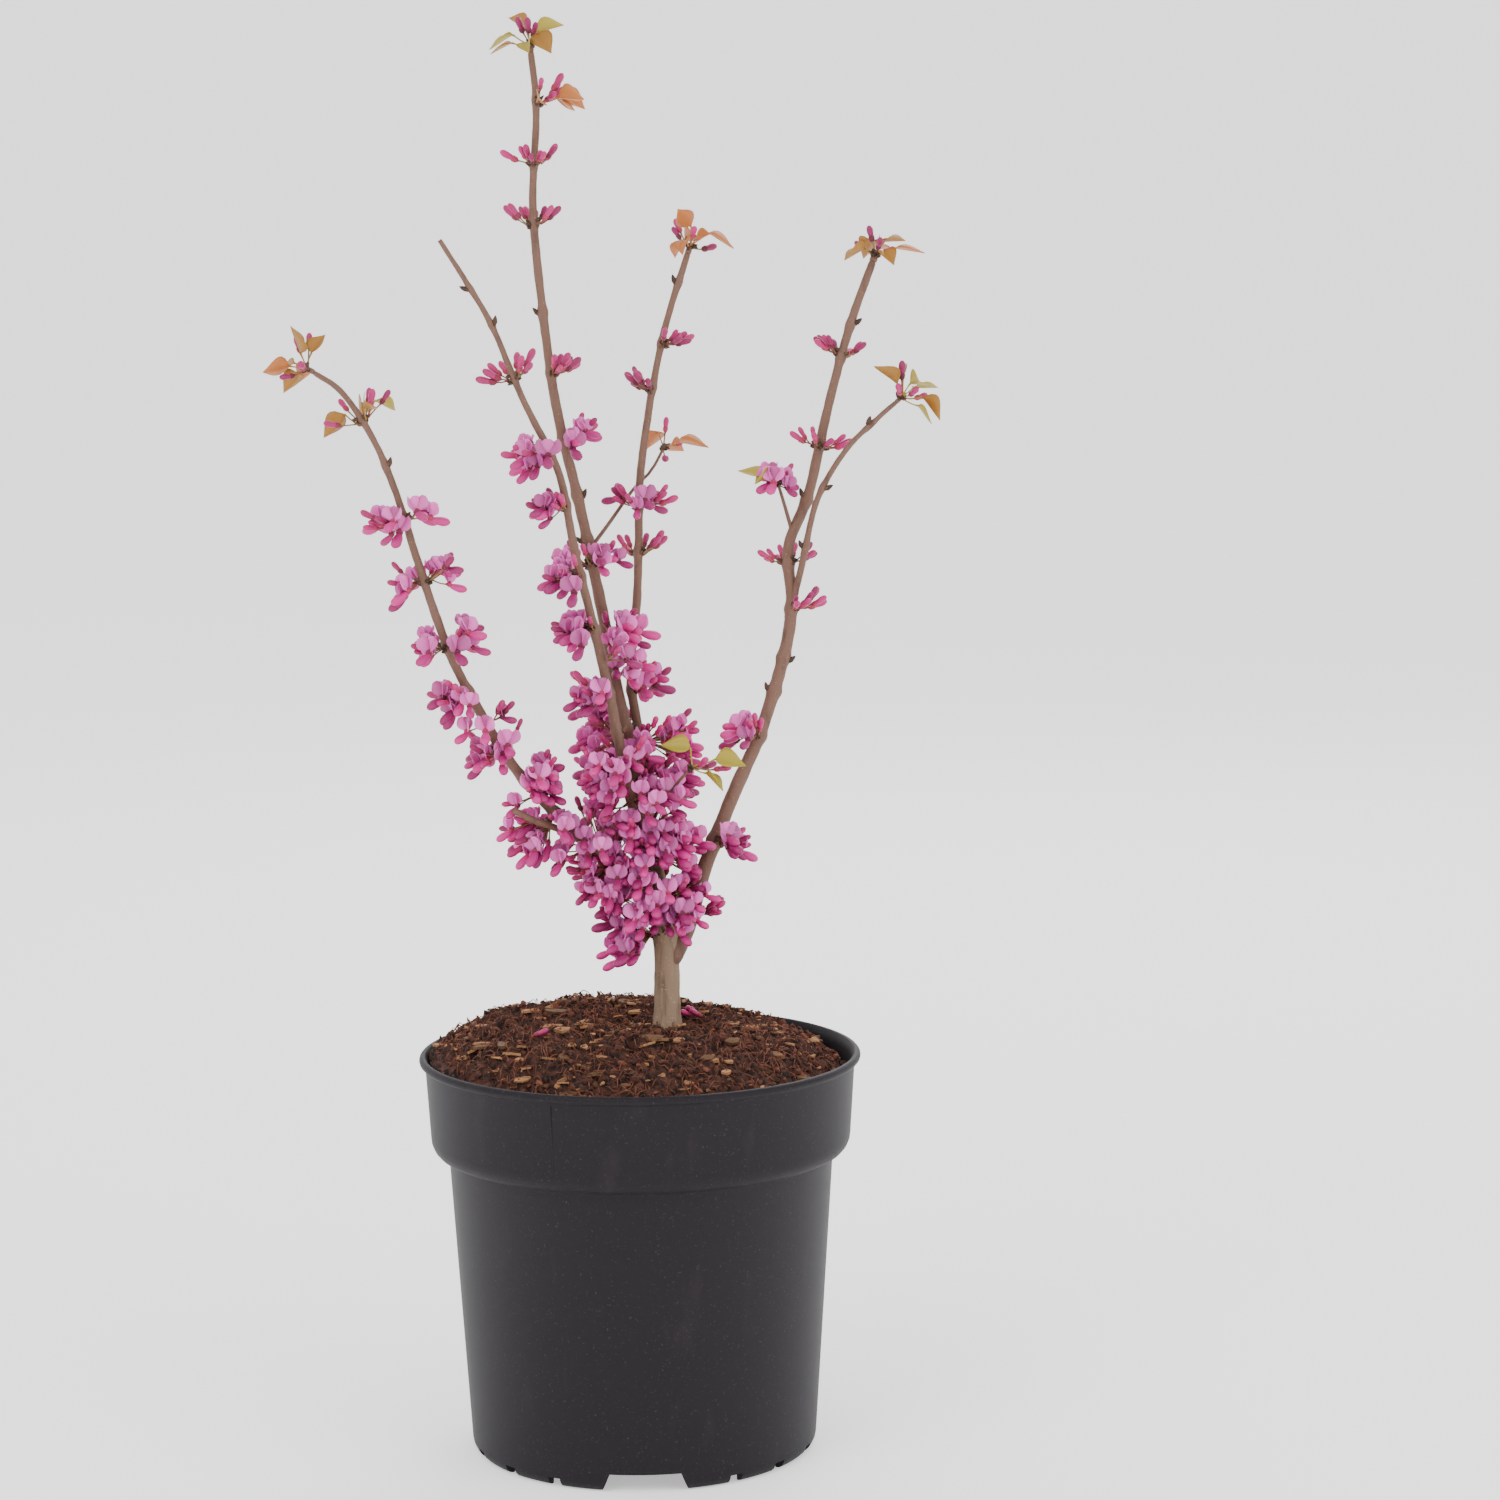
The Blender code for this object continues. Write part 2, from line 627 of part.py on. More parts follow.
def try_growth(kind, spot, turn, chance):
    """One stalk with its bud, flower or leaf, in a direction drawn by chance."""
    stage = STAGES[spot.stage]
    angle = math.radians(turn * (spot.arc / 2 - RING_END_MARGIN))
    spoke = spot.side * math.cos(angle) + spot.across * math.sin(angle)
    if spot.arc == END_ARC:
        root = spot.centre + spot.along * chance.uniform(0.4, 0.9) * END_STEM_LENGTH
    else:
        root = spot.centre + spoke * ring_distance(spot, angle)
    rise = chance.uniform(*RISE[kind])
    heading = (spoke * math.cos(rise) + spot.along * math.sin(rise)).normalized()
    end = root + heading * stage.stalk * chance.uniform(*STALK_SPREAD[kind])
    level = (Vector((heading.x, heading.y, heading.z * 0.3)) + spoke * 0.4).normalized()
    if kind == "bud":
        return new_bud(root, end, heading)
    if kind == "leaf":
        return new_leaf(root, end, level, chance)
    return new_flower(root, end, level)


def has_room(growth, spot, others, growths, obstacles):
    """Tell whether a growth keeps to its cluster's own space, off every limb and off its neighbours."""
    middle = spot_middle(spot)
    reach = STAGES[spot.stage].reach
    taken = [ball for neighbour in growths for ball in neighbour.balls]
    stalk = [(growth.root.lerp(growth.end, share), STALK_RADIUS) for share in (0.35, 0.65, 0.9)]
    for point, radius in growth.balls + stalk:
        if (point - middle).length + radius > reach:
            return False
        for other in others:
            apart = (other - middle).length
            to_border = ((point - other).length_squared - (point - middle).length_squared) / (2 * apart)
            if to_border < radius + CLEARANCE / 2:
                return False
        for place, width in taken:
            if (point - place).length < radius + width + CLEARANCE / 2:
                return False
        if obstacles.touches(point, radius, spot.twig):
            return False
    return True


def cluster_growths(spot, spots, obstacles):
    """All that grows in one cluster: flowers first, then buds and leaves, spread round the limb."""
    stage = STAGES[spot.stage]
    chance = random.Random(spot.name)
    middle = spot_middle(spot)
    others = [spot_middle(other) for other in spots if other is not spot]
    others = [other for other in others if (other - middle).length < 2 * stage.reach + 30.0]
    kinds = ["flower"] * stage.flowers + ["bud"] * stage.buds + ["leaf"] * stage.leaves
    growths = []
    for number, kind in enumerate(kinds):
        turn = ((number + 1) * GOLDEN_SHARE % 1.0) * 2 - 1
        for _ in range(PLACING_TRIES):
            growth = try_growth(kind, spot, turn, chance)
            if has_room(growth, spot, others, growths, obstacles):
                growths.append(growth)
                break
            turn = chance.uniform(-1, 1)
    return growths


def strand_shape(stations, normal, collection):
    """A four-sided strand: each station gives its point, half width and half thickness."""
    shape = bmesh.new()
    bmesh.ops.create_uvsphere(shape, u_segments=4, v_segments=len(stations) - 1, radius=1.0)
    last = len(stations) - 1
    for corner in shape.verts:
        place = round(last * (1 - math.acos(max(-1.0, min(1.0, corner.co.z))) / math.pi))
        point, half_width, half_thickness = stations[place]
        along = stations[min(place + 1, last)][0] - stations[max(place - 1, 0)][0]
        across = normal.cross(along).normalized()
        square = along.cross(across).normalized()
        turn = math.atan2(corner.co.y, corner.co.x)
        if place in (0, last):
            corner.co = point
        else:
            sideways = across * math.cos(turn) * half_width
            corner.co = point + sideways + square * math.sin(turn) * half_thickness
    return mesh_object("strand", shape, collection)


def growth_shapes(growth, collection):
    """The solids of one growth: a stalk that swells into its bud, keel or leaf, and the petals."""
    out = growth.out
    up = growth.up
    end = growth.end
    heading = (end - growth.root).normalized()
    neck = growth.root + heading * RING_RADIUS * 1.2
    stalk = [(growth.root, 0, 0), (neck, STALK_RADIUS, STALK_RADIUS)]
    if growth.kind == "bud":
        widest = (end + out * BUD_LENGTH * 0.55, BUD_RADIUS, BUD_RADIUS)
        tip = (end + out * BUD_LENGTH, 0, 0)
        return [strand_shape(stalk + [widest, tip], up, collection)]
    if growth.kind == "leaf":
        base = (end, STALK_RADIUS, STALK_RADIUS)
        widest = (end + out * LEAF_LENGTH * 0.4, LEAF_WIDTH / 2, LEAF_THICKNESS / 2)
        tip = (end + out * LEAF_LENGTH, 0, 0)
        return [strand_shape(stalk + [base, widest, tip], up, collection)]
    keel = keel_direction(out, up)
    base = (end, STALK_RADIUS * 2, STALK_RADIUS * 2)
    widest = (end + keel * KEEL_LENGTH * 0.55, KEEL_RADIUS, KEEL_RADIUS)
    tip = (end + keel * KEEL_LENGTH, 0, 0)
    claw = (end + up * FAN_HEIGHT * 0.14, FAN_WIDTH * 0.12, FAN_THICKNESS / 2)
    spread = (end + up * FAN_HEIGHT * 0.68, FAN_WIDTH / 2, FAN_THICKNESS / 2)
    crest = (end + up * FAN_HEIGHT, 0, 0)
    return [
        strand_shape(stalk + [base, widest, tip], up, collection),
        strand_shape([(end, 0, 0), claw, spread, crest], out, collection),
    ]


def ring_stem(spot, collection):
    """The cushion of bud scales that hugs the limb, one gap clear of it."""
    steps = ring_steps(spot)
    distance = ring_distance(spot, -math.radians(spot.arc) / 2)
    stations = []
    for step in range(steps + 1):
        turn = math.radians(spot.arc * (step / steps - 0.5))
        spoke = spot.side * math.cos(turn) + spot.across * math.sin(turn)
        stations.append((spot.centre + spoke * distance, RING_RADIUS))
    return tube("ring", stations, collection, resolution=0)


def end_stem(spot, collection):
    """The short stem that carries on from the end of a bough."""
    stations = [(spot.centre, spot.radius), (spot.centre + spot.along * END_STEM_LENGTH, spot.radius * 0.7)]
    return tube("stem", stations, collection, resolution=0)


def twig_stem(spot, collection, cutters):
    """A thin twig, cut clear of the limb that it leaves."""
    twig = TWIGS[spot.twig]
    item = tube("twig", limb_stations(spot.twig, twig), collection, resolution=0)
    parent = limb_stations(twig.parent, LIMBS[twig.parent])
    return cut(item, [grown_copy("limb_cutter", parent, cutters)], collection)


def keep_main_body(mesh):
    """Drop loose scraps and the walls of sealed hollows that fusing leaves behind."""
    shape = bmesh.new()
    shape.from_mesh(mesh)
    bmesh.ops.remove_doubles(shape, verts=shape.verts, dist=WELD)
    unseen = set(shape.faces)
    bodies = []
    while unseen:
        body = [unseen.pop()]
        for face in body:
            for edge in face.edges:
                for neighbour in edge.link_faces:
                    if neighbour in unseen:
                        unseen.remove(neighbour)
                        body.append(neighbour)
        bodies.append(body)
    bodies.sort(key=lambda body: sum(face.calc_area() for face in body), reverse=True)
    spare = [face for body in bodies[1:] for face in body]
    bmesh.ops.delete(shape, geom=spare, context="FACES")
    shape.to_mesh(mesh)
    shape.free()


def fuse(name, shapes, loose, parts):
    """Join the shapes of one cluster into one solid."""
    base = shapes[0]
    base.name = name
    loose.objects.unlink(base)
    parts.objects.link(base)
    union = base.modifiers.new("fuse", "BOOLEAN")
    union.operation = "UNION"
    union.operand_type = "COLLECTION"
    union.collection = loose
    union.solver = "EXACT"
    result = made_mesh(base, parts)
    for item in list(loose.objects):
        bpy.data.objects.remove(item, do_unlink=True)
    keep_main_body(result.data)
    return result


def make_clusters(parts, cutters):
    """Grow every cluster of blossom and leaves, and fuse each into its own solid."""
    blossom = plain_material("magenta_blossom", BLOSSOM_COLOUR, 0.6)
    foliage = plain_material("young_leaf", LEAF_COLOUR, 0.55)
    loose = new_collection("loose_shapes")
    spots = all_spots()
    obstacles = Obstacles()
    for spot in spots:
        if spot.twig:
            stem = twig_stem(spot, loose, cutters)
        elif spot.arc == END_ARC:
            stem = end_stem(spot, loose)
        else:
            stem = ring_stem(spot, loose)
        shapes = [stem]
        for growth in cluster_growths(spot, spots, obstacles):
            shapes.extend(growth_shapes(growth, loose))
        item = fuse(spot.name, shapes, loose, parts)
        finish_part(item, foliage if STAGES[spot.stage].leaves else blossom)
    bpy.data.collections.remove(loose)


def main():
    """Build the potted plant."""
    clear_scene()
    parts = new_collection("potted_chinese_redbud")
    cutters = new_collection("cutters")
    make_pot(parts, cutters)
    make_soil(parts, cutters)
    make_limbs(parts, cutters)
    make_clusters(parts, cutters)


main()
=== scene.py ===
"""Look of a potted young Chinese redbud in flower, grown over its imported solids.

Sizes are in millimetres unless a name ends in _M, and Z is up.
"""

import json
import math
import random
from collections import namedtuple
from functools import lru_cache

import bmesh
import bpy
from bpy.props import FloatProperty, FloatVectorProperty, IntProperty, PointerProperty
from mathutils import Matrix, Vector, noise
from mathutils.kdtree import KDTree

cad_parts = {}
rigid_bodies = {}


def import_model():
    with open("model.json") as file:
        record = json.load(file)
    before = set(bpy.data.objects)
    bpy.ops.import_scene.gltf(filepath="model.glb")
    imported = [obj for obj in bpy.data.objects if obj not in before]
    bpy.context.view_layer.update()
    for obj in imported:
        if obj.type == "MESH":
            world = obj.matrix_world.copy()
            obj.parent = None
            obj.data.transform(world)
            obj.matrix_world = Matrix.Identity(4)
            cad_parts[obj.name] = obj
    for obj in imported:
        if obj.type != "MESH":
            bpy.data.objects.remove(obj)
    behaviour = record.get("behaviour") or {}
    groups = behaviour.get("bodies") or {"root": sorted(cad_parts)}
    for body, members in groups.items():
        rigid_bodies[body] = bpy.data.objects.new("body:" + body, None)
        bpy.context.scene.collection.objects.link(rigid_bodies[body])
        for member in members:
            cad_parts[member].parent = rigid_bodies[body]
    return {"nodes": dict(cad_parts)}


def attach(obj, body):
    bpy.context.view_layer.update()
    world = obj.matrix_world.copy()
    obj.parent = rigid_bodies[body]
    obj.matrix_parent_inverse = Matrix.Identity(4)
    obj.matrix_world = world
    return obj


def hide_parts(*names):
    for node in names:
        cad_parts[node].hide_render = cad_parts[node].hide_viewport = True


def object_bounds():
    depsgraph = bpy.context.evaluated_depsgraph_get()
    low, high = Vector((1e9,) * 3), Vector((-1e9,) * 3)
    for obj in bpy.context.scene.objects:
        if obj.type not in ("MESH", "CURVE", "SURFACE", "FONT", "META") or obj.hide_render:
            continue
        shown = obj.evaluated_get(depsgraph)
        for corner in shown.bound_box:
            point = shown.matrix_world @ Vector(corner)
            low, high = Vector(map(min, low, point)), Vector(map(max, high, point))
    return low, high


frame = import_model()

bl_info = {
    "name": "Potted Chinese Redbud",
    "version": (1, 0, 0),
    "blender": (4, 5, 0),
    "location": "3D View > Sidebar > Redbud",
    "description": "Dresses the solids of a potted redbud with bark, blossom, leaves, compost and a pot",
    "category": "Object",
}

SIZE_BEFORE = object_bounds()
LOWEST = Vector(SIZE_BEFORE[0]) * 1000
HIGHEST = Vector(SIZE_BEFORE[1]) * 1000

MM = 0.001
WHITE = (1.0, 1.0, 1.0, 1.0)
GAP = 0.3
FLAT_SIDE_ALLOWANCE = 1.2
CURVE_STEPS = 12
ANY_TURN = 6.28
UPRIGHT = Vector((0, 0, 1))
BACKWARD = Vector((0, 1, 0))

# Nursery pot
POT_HEIGHT = 173.0
RIM_RADIUS = 95.2
LIP_HEIGHT = 3.8
COLLAR_TOP_RADIUS = 92.7
COLLAR_FOOT_RADIUS = 90.6
COLLAR_HEIGHT = 43.0
BODY_TOP_RADIUS = 83.0
BODY_FOOT_RADIUS = 75.0
WALL = 1.5
SKIRT_RADIUS = 70.0
DISC_RADIUS = 47.5
GROOVE_HEIGHT = 9.0
NOTCH_ANGLES = (0, 120, 240)
NOTCH_TOP_WIDTH = 30.0
NOTCH_FOOT_WIDTH = 37.0
NOTCH_HEIGHT = 8.0
SLITS_FROM_NOTCH = (31, 50, 70, 89)
SLIT_WIDTH = 6.0
SLIT_HEIGHT = 4.0
SEAM_ANGLE = -113.5
SEAM_HALF_WIDTH = 0.22
SEAM_DEPTH = 0.1
POT_STEPS = 128
CREASE_ANGLE = 35
CUTTER_MARGIN = 3.0
CUTTER_FOOT = -1.0

# Compost
SOIL_RADIUS = 89.6
SOIL_EDGE_HEIGHT = 167.5
SOIL_MOUND = 17.0
SOIL_FALL_RIGHT = 5.0
SOIL_RISE_BACK = 4.0
MOUND_RINGS = 110
MOUND_STEPS = 300
MOUND_OVERLAP = 1.2
MOUND_SIDE_TAPER = 0.96
MOUND_FOOT_HEIGHT = SOIL_EDGE_HEIGHT - 14.0
LOOSE_MARGIN = 3.0
CRUMB_TINTS = (0.45, 0.8, 1.2, 1.7, 2.5)
SMALLEST_CRUMB = 0.5
CRUMB_SPREAD = 1.5
FIBRES_PER_CRUMB = 0.9
FIBRE_LENGTHS = (3, 12)
FIBRE_BEND = 0.9
FIBRE_STATIONS = 5
FIBRE_HALF_WIDTH = 0.26
FIBRE_CLEARANCE = 0.4
FIBRE_ARCH = 1.2
CHIP_TINTS = (0.35, 0.6, 0.9, 1.15)
CHIP_OUTLINE = ((-1, -0.5), (-0.6, 0.8), (0.1, 1.0), (0.9, 0.6), (1.0, -0.3), (0.3, -1.0), (-0.5, -0.9))
LARGE_CHIPS = (
    (-38, -10, 5), (-26, -14, 6.5), (-12, -8, 5), (-33, -19, 4.5), (-4, -12, 4), (4, -24, 6.5),
    (7, -29, 4.5), (68, -40, 6), (74, -36, 5), (52, -64, 5.5), (-28, -77, 5), (-34, -72, 4),
    (-67, -24, 3), (-58, -30, 4.5), (30, -50, 4), (20, -66, 4),
)
SMALL_CHIPS = 420
SMALLEST_CHIP = 1.4
CHIP_SPREAD = 3.0
FALLEN_BUDS = ((-45, -27), (22, 14), (25, 18), (20, 19), (27, 12), (24, 22))
FALLEN_BUD_SIZE = 0.8
FALLEN_BUD_LIFT = 1.8

# Trunk, boughs and twigs, as in the plant's own source
TRUNK_FOOT = (12, 0, 182)
TRUNK_FOOT_FLARE = 1.5
TRUNK_FLARE_HEIGHT = 9.0
Limb = namedtuple("Limb", "parent foot tip stations route")
LIMBS = {
    "trunk": Limb(
        None, 11.8, 7.6, 14,
        (TRUNK_FOOT, (12, 0, 193), (12, 0, 206), (11, 0, 224), (8, 1, 243), (5, 2, 261), (2, 4, 280)),
    ),
    "right_bough": Limb(
        "trunk", 6.9, 3.4, 28,
        ((11, 0, 211), (20, 2, 223), (29, 6, 252), (42, 14, 283), (54, 20, 309), (65, 26, 343),
         (68, 28, 365), (67, 30, 388), (76, 32, 411), (85, 35, 449), (95, 38, 484), (105, 40, 511)),
    ),
    "left_bough": Limb(
        "trunk", 5.6, 2.2, 26,
        ((7, 1, 243), (-16, -6, 262), (-34, -11, 278), (-53, -17, 301), (-68, -22, 328), (-78, -26, 350),
         (-88, -30, 381), (-98, -34, 416), (-107, -37, 439), (-119, -39, 458), (-131, -40, 467)),
    ),
    "front_stem": Limb(
        "trunk", 5.0, 2.0, 24,
        ((5, 2, 261), (-3, -9, 285), (-9, -12, 318), (-16, -16, 352), (-25, -22, 392), (-31, -26, 424),
         (-45, -30, 454), (-57, -33, 484), (-67, -36, 502), (-78, -38, 520)),
    ),
    "middle_stem": Limb(
        "trunk", 4.4, 2.8, 22,
        ((4, 3, 266), (4, 13, 292), (-2, 17, 332), (1, 22, 366), (2, 26, 390), (3, 29, 418),
         (8, 33, 452), (15, 37, 484), (25, 40, 515)),
    ),
    "leader_bough": Limb(
        "trunk", 5.8, 2.8, 26,
        ((3, 4, 277), (-8, 8, 329), (-13, 10, 358), (-23, 12, 408), (-32, 14, 448), (-38, 16, 495),
         (-41, 17, 535), (-39, 18, 575), (-41, 18, 600)),
    ),
    "right_fork": Limb(
        "right_bough", 3.2, 2.0, 14,
        ((67, 28, 357), (73, 24, 383), (79, 18, 409), (91, 14, 430), (104, 12, 443), (113, 10, 451)),
    ),
    "cut_stub": Limb(
        "left_bough", 3.4, 2.6, 6,
        ((-24, -8, 268), (-34, -18, 273), (-43, -23, 277), (-52, -26, 282)),
    ),
}
CUT_LIMBS = ("front_stem", "cut_stub")
Twig = namedtuple("Twig", "parent foot tip stations route stage")
TWIGS = {
    "leaf_twig": Twig(
        "trunk", 1.7, 1.2, 6, ((5, 3, 268), (10, -3, 280), (17, -8, 290), (24, -10, 298)), "leafy_end"),
    "crossing_twig": Twig(
        "leader_bough", 1.8, 1.2, 9,
        ((-19, 11, 389), (-11, 19, 399), (0, 38, 413), (8, 41, 421), (14, 37, 432)), "leafy_end"),
    "right_spur": Twig(
        "right_bough", 1.9, 1.3, 6, ((69, 31, 393), (65, 28, 407), (62, 26, 417)), "flower_end"),
}

# Clusters on each limb: height above the ground, the side they stand on, and how far they have opened
CLUSTERS = {
    "trunk": (
        (225, "left", "crowded"), (236, "front", "crowded"), (243, "back", "crowded"),
        (257, "right", "crowded")),
    "right_bough": (
        (232, "right", "budded"), (263, "right", "opening"), (307, "left", "opening"),
        (361, "right", "budded"), (381, "both", "budded"), (432, "both", "budded"),
        (469, "both", "budded"), (511, "end", "tip")),
    "left_bough": (
        (257, "both", "crowded"), (278, "both", "crowded"), (293, "right", "open"),
        (307, "both", "open"), (332, "left", "open"), (351, "both", "open"), (380, "both", "open"),
        (405, "both", "open"), (447, "both", "leafy"), (467, "end", "tip")),
    "front_stem": (
        (294, "left", "crowded"), (330, "left", "open"), (357, "left", "open"), (380, "left", "open"),
        (410, "left", "opening"), (433, "left", "open"), (463, "both", "budded")),
    "middle_stem": (
        (304, "right", "crowded"), (328, "right", "open"), (387, "both", "budded"),
        (406, "both", "opening"), (457, "left", "budded"), (476, "right", "budded"), (515, "end", "tip")),
    "leader_bough": (
        (290, "right", "crowded"), (312, "back", "crowded"), (352, "right", "open"),
        (383, "both", "open"), (436, "right", "opening"), (464, "right", "budded"),
        (528, "both", "budded"), (552, "both", "budded"), (579, "right", "leafy"), (600, "end", "tip")),
    "right_fork": ((451, "end", "tip"),),
}
SIDES = {
    "left": Vector((-1, -0.25, 0)),
    "right": Vector((1, -0.25, 0)),
    "front": Vector((0.1, -1, 0)),
    "back": Vector((-0.1, 1, 0)),
    "both": Vector((-0.2, -1, 0)),
    "end": Vector((1, 0, 0)),
}
ONE_SIDED_ARC = 170.0
BOTH_SIDED_ARC = 290.0
END_ARC = 360.0
RING_RADIUS = 0.8
RING_STEP = 55.0
RING_END_MARGIN = 11.0
END_STEM_LENGTH = 3.5
Stage = namedtuple("Stage", "flowers buds leaves reach stalk")
STAGES = {
    "tip": Stage(0, 2, 3, 24.0, 6.0),
    "leafy": Stage(0, 2, 2, 24.0, 6.0),
    "leafy_end": Stage(0, 2, 2, 26.0, 7.0),
    "flower_end": Stage(2, 0, 1, 24.0, 4.0),
    "budded": Stage(0, 4, 0, 16.0, 3.6),
    "opening": Stage(2, 3, 0, 19.0, 4.6),
    "open": Stage(4, 1, 0, 22.0, 6.0),
    "crowded": Stage(7, 1, 0, 31.0, 11.0),
}
PLACING_TRIES = 30
NEIGHBOUR_MARGIN = 30.0
GOLDEN_SHARE = 0.618034
CLEARANCE = 0.55
STALK_RADIUS = 0.45
BUD_LENGTH = 8.8
BUD_RADIUS = 1.9
KEEL_LENGTH = 11.5
KEEL_RADIUS = 2.2
FAN_WIDTH = 11.0
FAN_HEIGHT = 9.4
LEAF_LENGTH = 14.0
LEAF_WIDTH = 10.5
KEEL_DROOP = 0.5
LEAF_DROOP = (-1.1, 0.3)
LEAF_ROLL = 1.1
RISE = {"bud": (0.05, 0.85), "flower": (-0.75, 0.6), "leaf": (0.1, 1.3)}
STALK_SPREAD = {"bud": (0.55, 1.6), "flower": (0.55, 1.6), "leaf": (0.9, 1.5)}

# Finer growth of the look: flowers, buds and leaves added to each kind of cluster, in the same reach
FINER = {
    "tip": (0, 2, 3), "leafy": (0, 3, 2), "leafy_end": (0, 1, 1), "flower_end": (3, 1, 1),
    "budded": (0, 5, 0), "opening": (3, 4, 0), "open": (5, 4, 0), "crowded": (12, 7, 0),
}
FINER_SIZES = (0.78, 1.0)
FINER_LARGEST = 0.98
FINER_ROOM = 0.52
FINER_TRIES = 60

# Clusters of the look alone, between the source's: limb, height, side and how far they have opened
FINER_SPOTS = (
    ("trunk", 238, "front", "crowded"), ("trunk", 251, "front", "crowded"),
    ("trunk", 262, "front", "crowded"), ("trunk", 248, "left", "crowded"),
    ("left_bough", 255, "front", "crowded"), ("left_bough", 266, "front", "crowded"),
    ("left_bough", 288, "front", "open"), ("front_stem", 270, "front", "crowded"),
    ("front_stem", 283, "front", "crowded"), ("front_stem", 302, "right", "open"),
    ("front_stem", 345, "right", "open"), ("middle_stem", 282, "front", "crowded"),
    ("leader_bough", 302, "front", "open"), ("leader_bough", 335, "right", "open"),
    ("trunk", 268, "back", "crowded"), ("left_bough", 262, "back", "crowded"),
    ("left_bough", 318, "front", "open"), ("leader_bough", 322, "back", "open"),
)
FINER_SPOT_GROWTH = {"crowded": (8, 3, 0), "open": (3, 2, 0)}
FINER_SPOT_SIZES = (0.82, 1.0)
FINER_SPOT_NEIGHBOURS = 60.0

# Surface and ends of the limbs and twigs
TRUNK_RELIEF = 2.2
TRUNK_SIDES = 28
BOUGH_SIDES = 16
FEWEST_STATIONS = 12
STATION_STEP = 1.3
NODE_SWELLING = 0.30
NODE_REACH = 3.2
NODE_END = 1.6
NODE_STEEPNESS = 2.2
COLLAR_SWELLING = 0.45
COLLAR_REACH = 3.0
TIP_ROUNDING = {0: 0.55, 1: 0.93}
FINE_RIDGES = 0.5
LUMP_SHARE = 0.06
TWIG_STATIONS = 14
TWIG_SIDES = 8
TWIG_END = ((-1.0, 0.98), (0.0, 1.0), (2.4, 0.8), (3.4, 0.4))

# Dormant buds: the limb, the height and the side, 1 to the right and -1 to the left
DORMANT = (
    ("leader_bough", 490, -1), ("leader_bough", 412, 1), ("leader_bough", 393, -1), ("front_stem", 500, -1),
    ("right_bough", 483, 1), ("right_bough", 326, -1), ("right_bough", 340, 1), ("right_bough", 408, -1),
    ("front_stem", 313, 1), ("middle_stem", 351, 1), ("middle_stem", 502, -1), ("right_fork", 414, 1),
    ("right_fork", 440, -1), ("right_fork", 388, -1), ("left_bough", 428, 1), ("front_stem", 485, 1),
)
SCALES_AT_NODE = {"crowded": 26, "open": 20, "opening": 18}
SCALES_ELSEWHERE = 15
SCALE_LENGTHS = (1.4, 3.0)
SCALE_WIDTHS = (0.5, 1.0)
SCALE_TINTS = (0.7, 1.2, 2.0)

# Blossom and leaves: a profile gives places along the shape, each with its half width, and an
# outline gives the half widths alone, evenly spaced
BUD_PROFILE = (
    (0.0, 0.35), (0.10, 0.62), (0.26, 0.74), (0.45, 0.86), (0.64, 1.0), (0.80, 0.96), (0.92, 0.70),
    (0.98, 0.38), (1.0, 0.08),
)
BUD_SLIMNESS = 0.86
BUD_CUP_PROFILE = ((0.06, 0.80), (0.20, 0.94), (0.30, 0.90), (0.31, 0.70))
KEEL_PROFILE = (
    (0.06, 0.30), (0.18, 0.55), (0.34, 0.84), (0.52, 1.06), (0.70, 1.12), (0.84, 0.98), (0.94, 0.68),
    (0.99, 0.32), (1.0, 0.08),
)
KEEL_SHARE = 0.94
KEEL_CURVE = 0.16
FLOWER_CUP_PROFILE = ((-0.6, 0.5), (0.5, 1.45), (1.7, 1.75), (2.5, 1.6), (2.55, 1.1))
PETAL_OUTLINE = (0.20, 0.34, 0.66, 0.92, 1.0, 0.94, 0.70, 0.34)
LEAF_OUTLINE = (0.06, 0.70, 0.96, 1.0, 0.90, 0.72, 0.48, 0.24, 0.03)
STALK_PROFILE = ((0.0, 0.5), (0.3, 0.34), (0.6, 0.32), (0.85, 0.36), (1.0, 0.55))
STALK_SIDES = 5
STALK_NORMAL = Vector((0.2, 0.97, 0.1))
CLUB_NORMAL = UPRIGHT + Vector((0.02, 0.05, 0))
CLUB_SIDES = 8
SHEET_COLUMNS = 4
SHEET_THICKNESS = 0.3
WING_LENGTH = FAN_HEIGHT * 0.88
WING_WIDTH = FAN_WIDTH * 0.30
BANNER_LENGTH = FAN_HEIGHT * 0.8
BANNER_WIDTH = FAN_WIDTH * 0.31
BLADE_LENGTH = LEAF_LENGTH * 0.97
BLADE_WIDTH = LEAF_WIDTH * 0.47

# Tints: shades of a base colour, and the leaf colours of a cluster (0 bronze, 1 orange, 2 yellow-green)
CUP_TINTS = (0.7, 1.2, 2.2)
BUD_TINTS = (0.72, 1.0, 1.25)
KEEL_TINTS = (0.6, 0.9, 1.2)
PETAL_TINTS = (0.62, 0.95, 1.25)
STALK_COLOURS = {"stalk_green": (0.20, 0.13, 0.045), "stalk_red": (0.20, 0.05, 0.03)}
LEAF_COLOURS = ("bronze", "orange", "green")
LEAF_TINTS = {
    "leaf_twig": (2,), "crossing_twig": (1,), "right_spur": (2,), "leader_bough_leaves_10": (0, 2),
    "leader_bough_leaves_9": (1,), "middle_stem_leaves_7": (1,), "left_bough_leaves_9": (0, 2),
    "right_fork_leaves_1": (0, 2), "right_bough_leaves_8": (0, 1),
}

# Light that passes into petals and leaves
FLESH_RADIUS = (1.0, 0.35, 0.5)
FLESH_DEPTH_M = 0.002
PETAL_FLESH = 0.25
LEAF_FLESH = 0.15

# Range of the noise in which a material's fine speckle fades in
SPECKLE_LOW = 0.62
SPECKLE_HIGH = 0.72

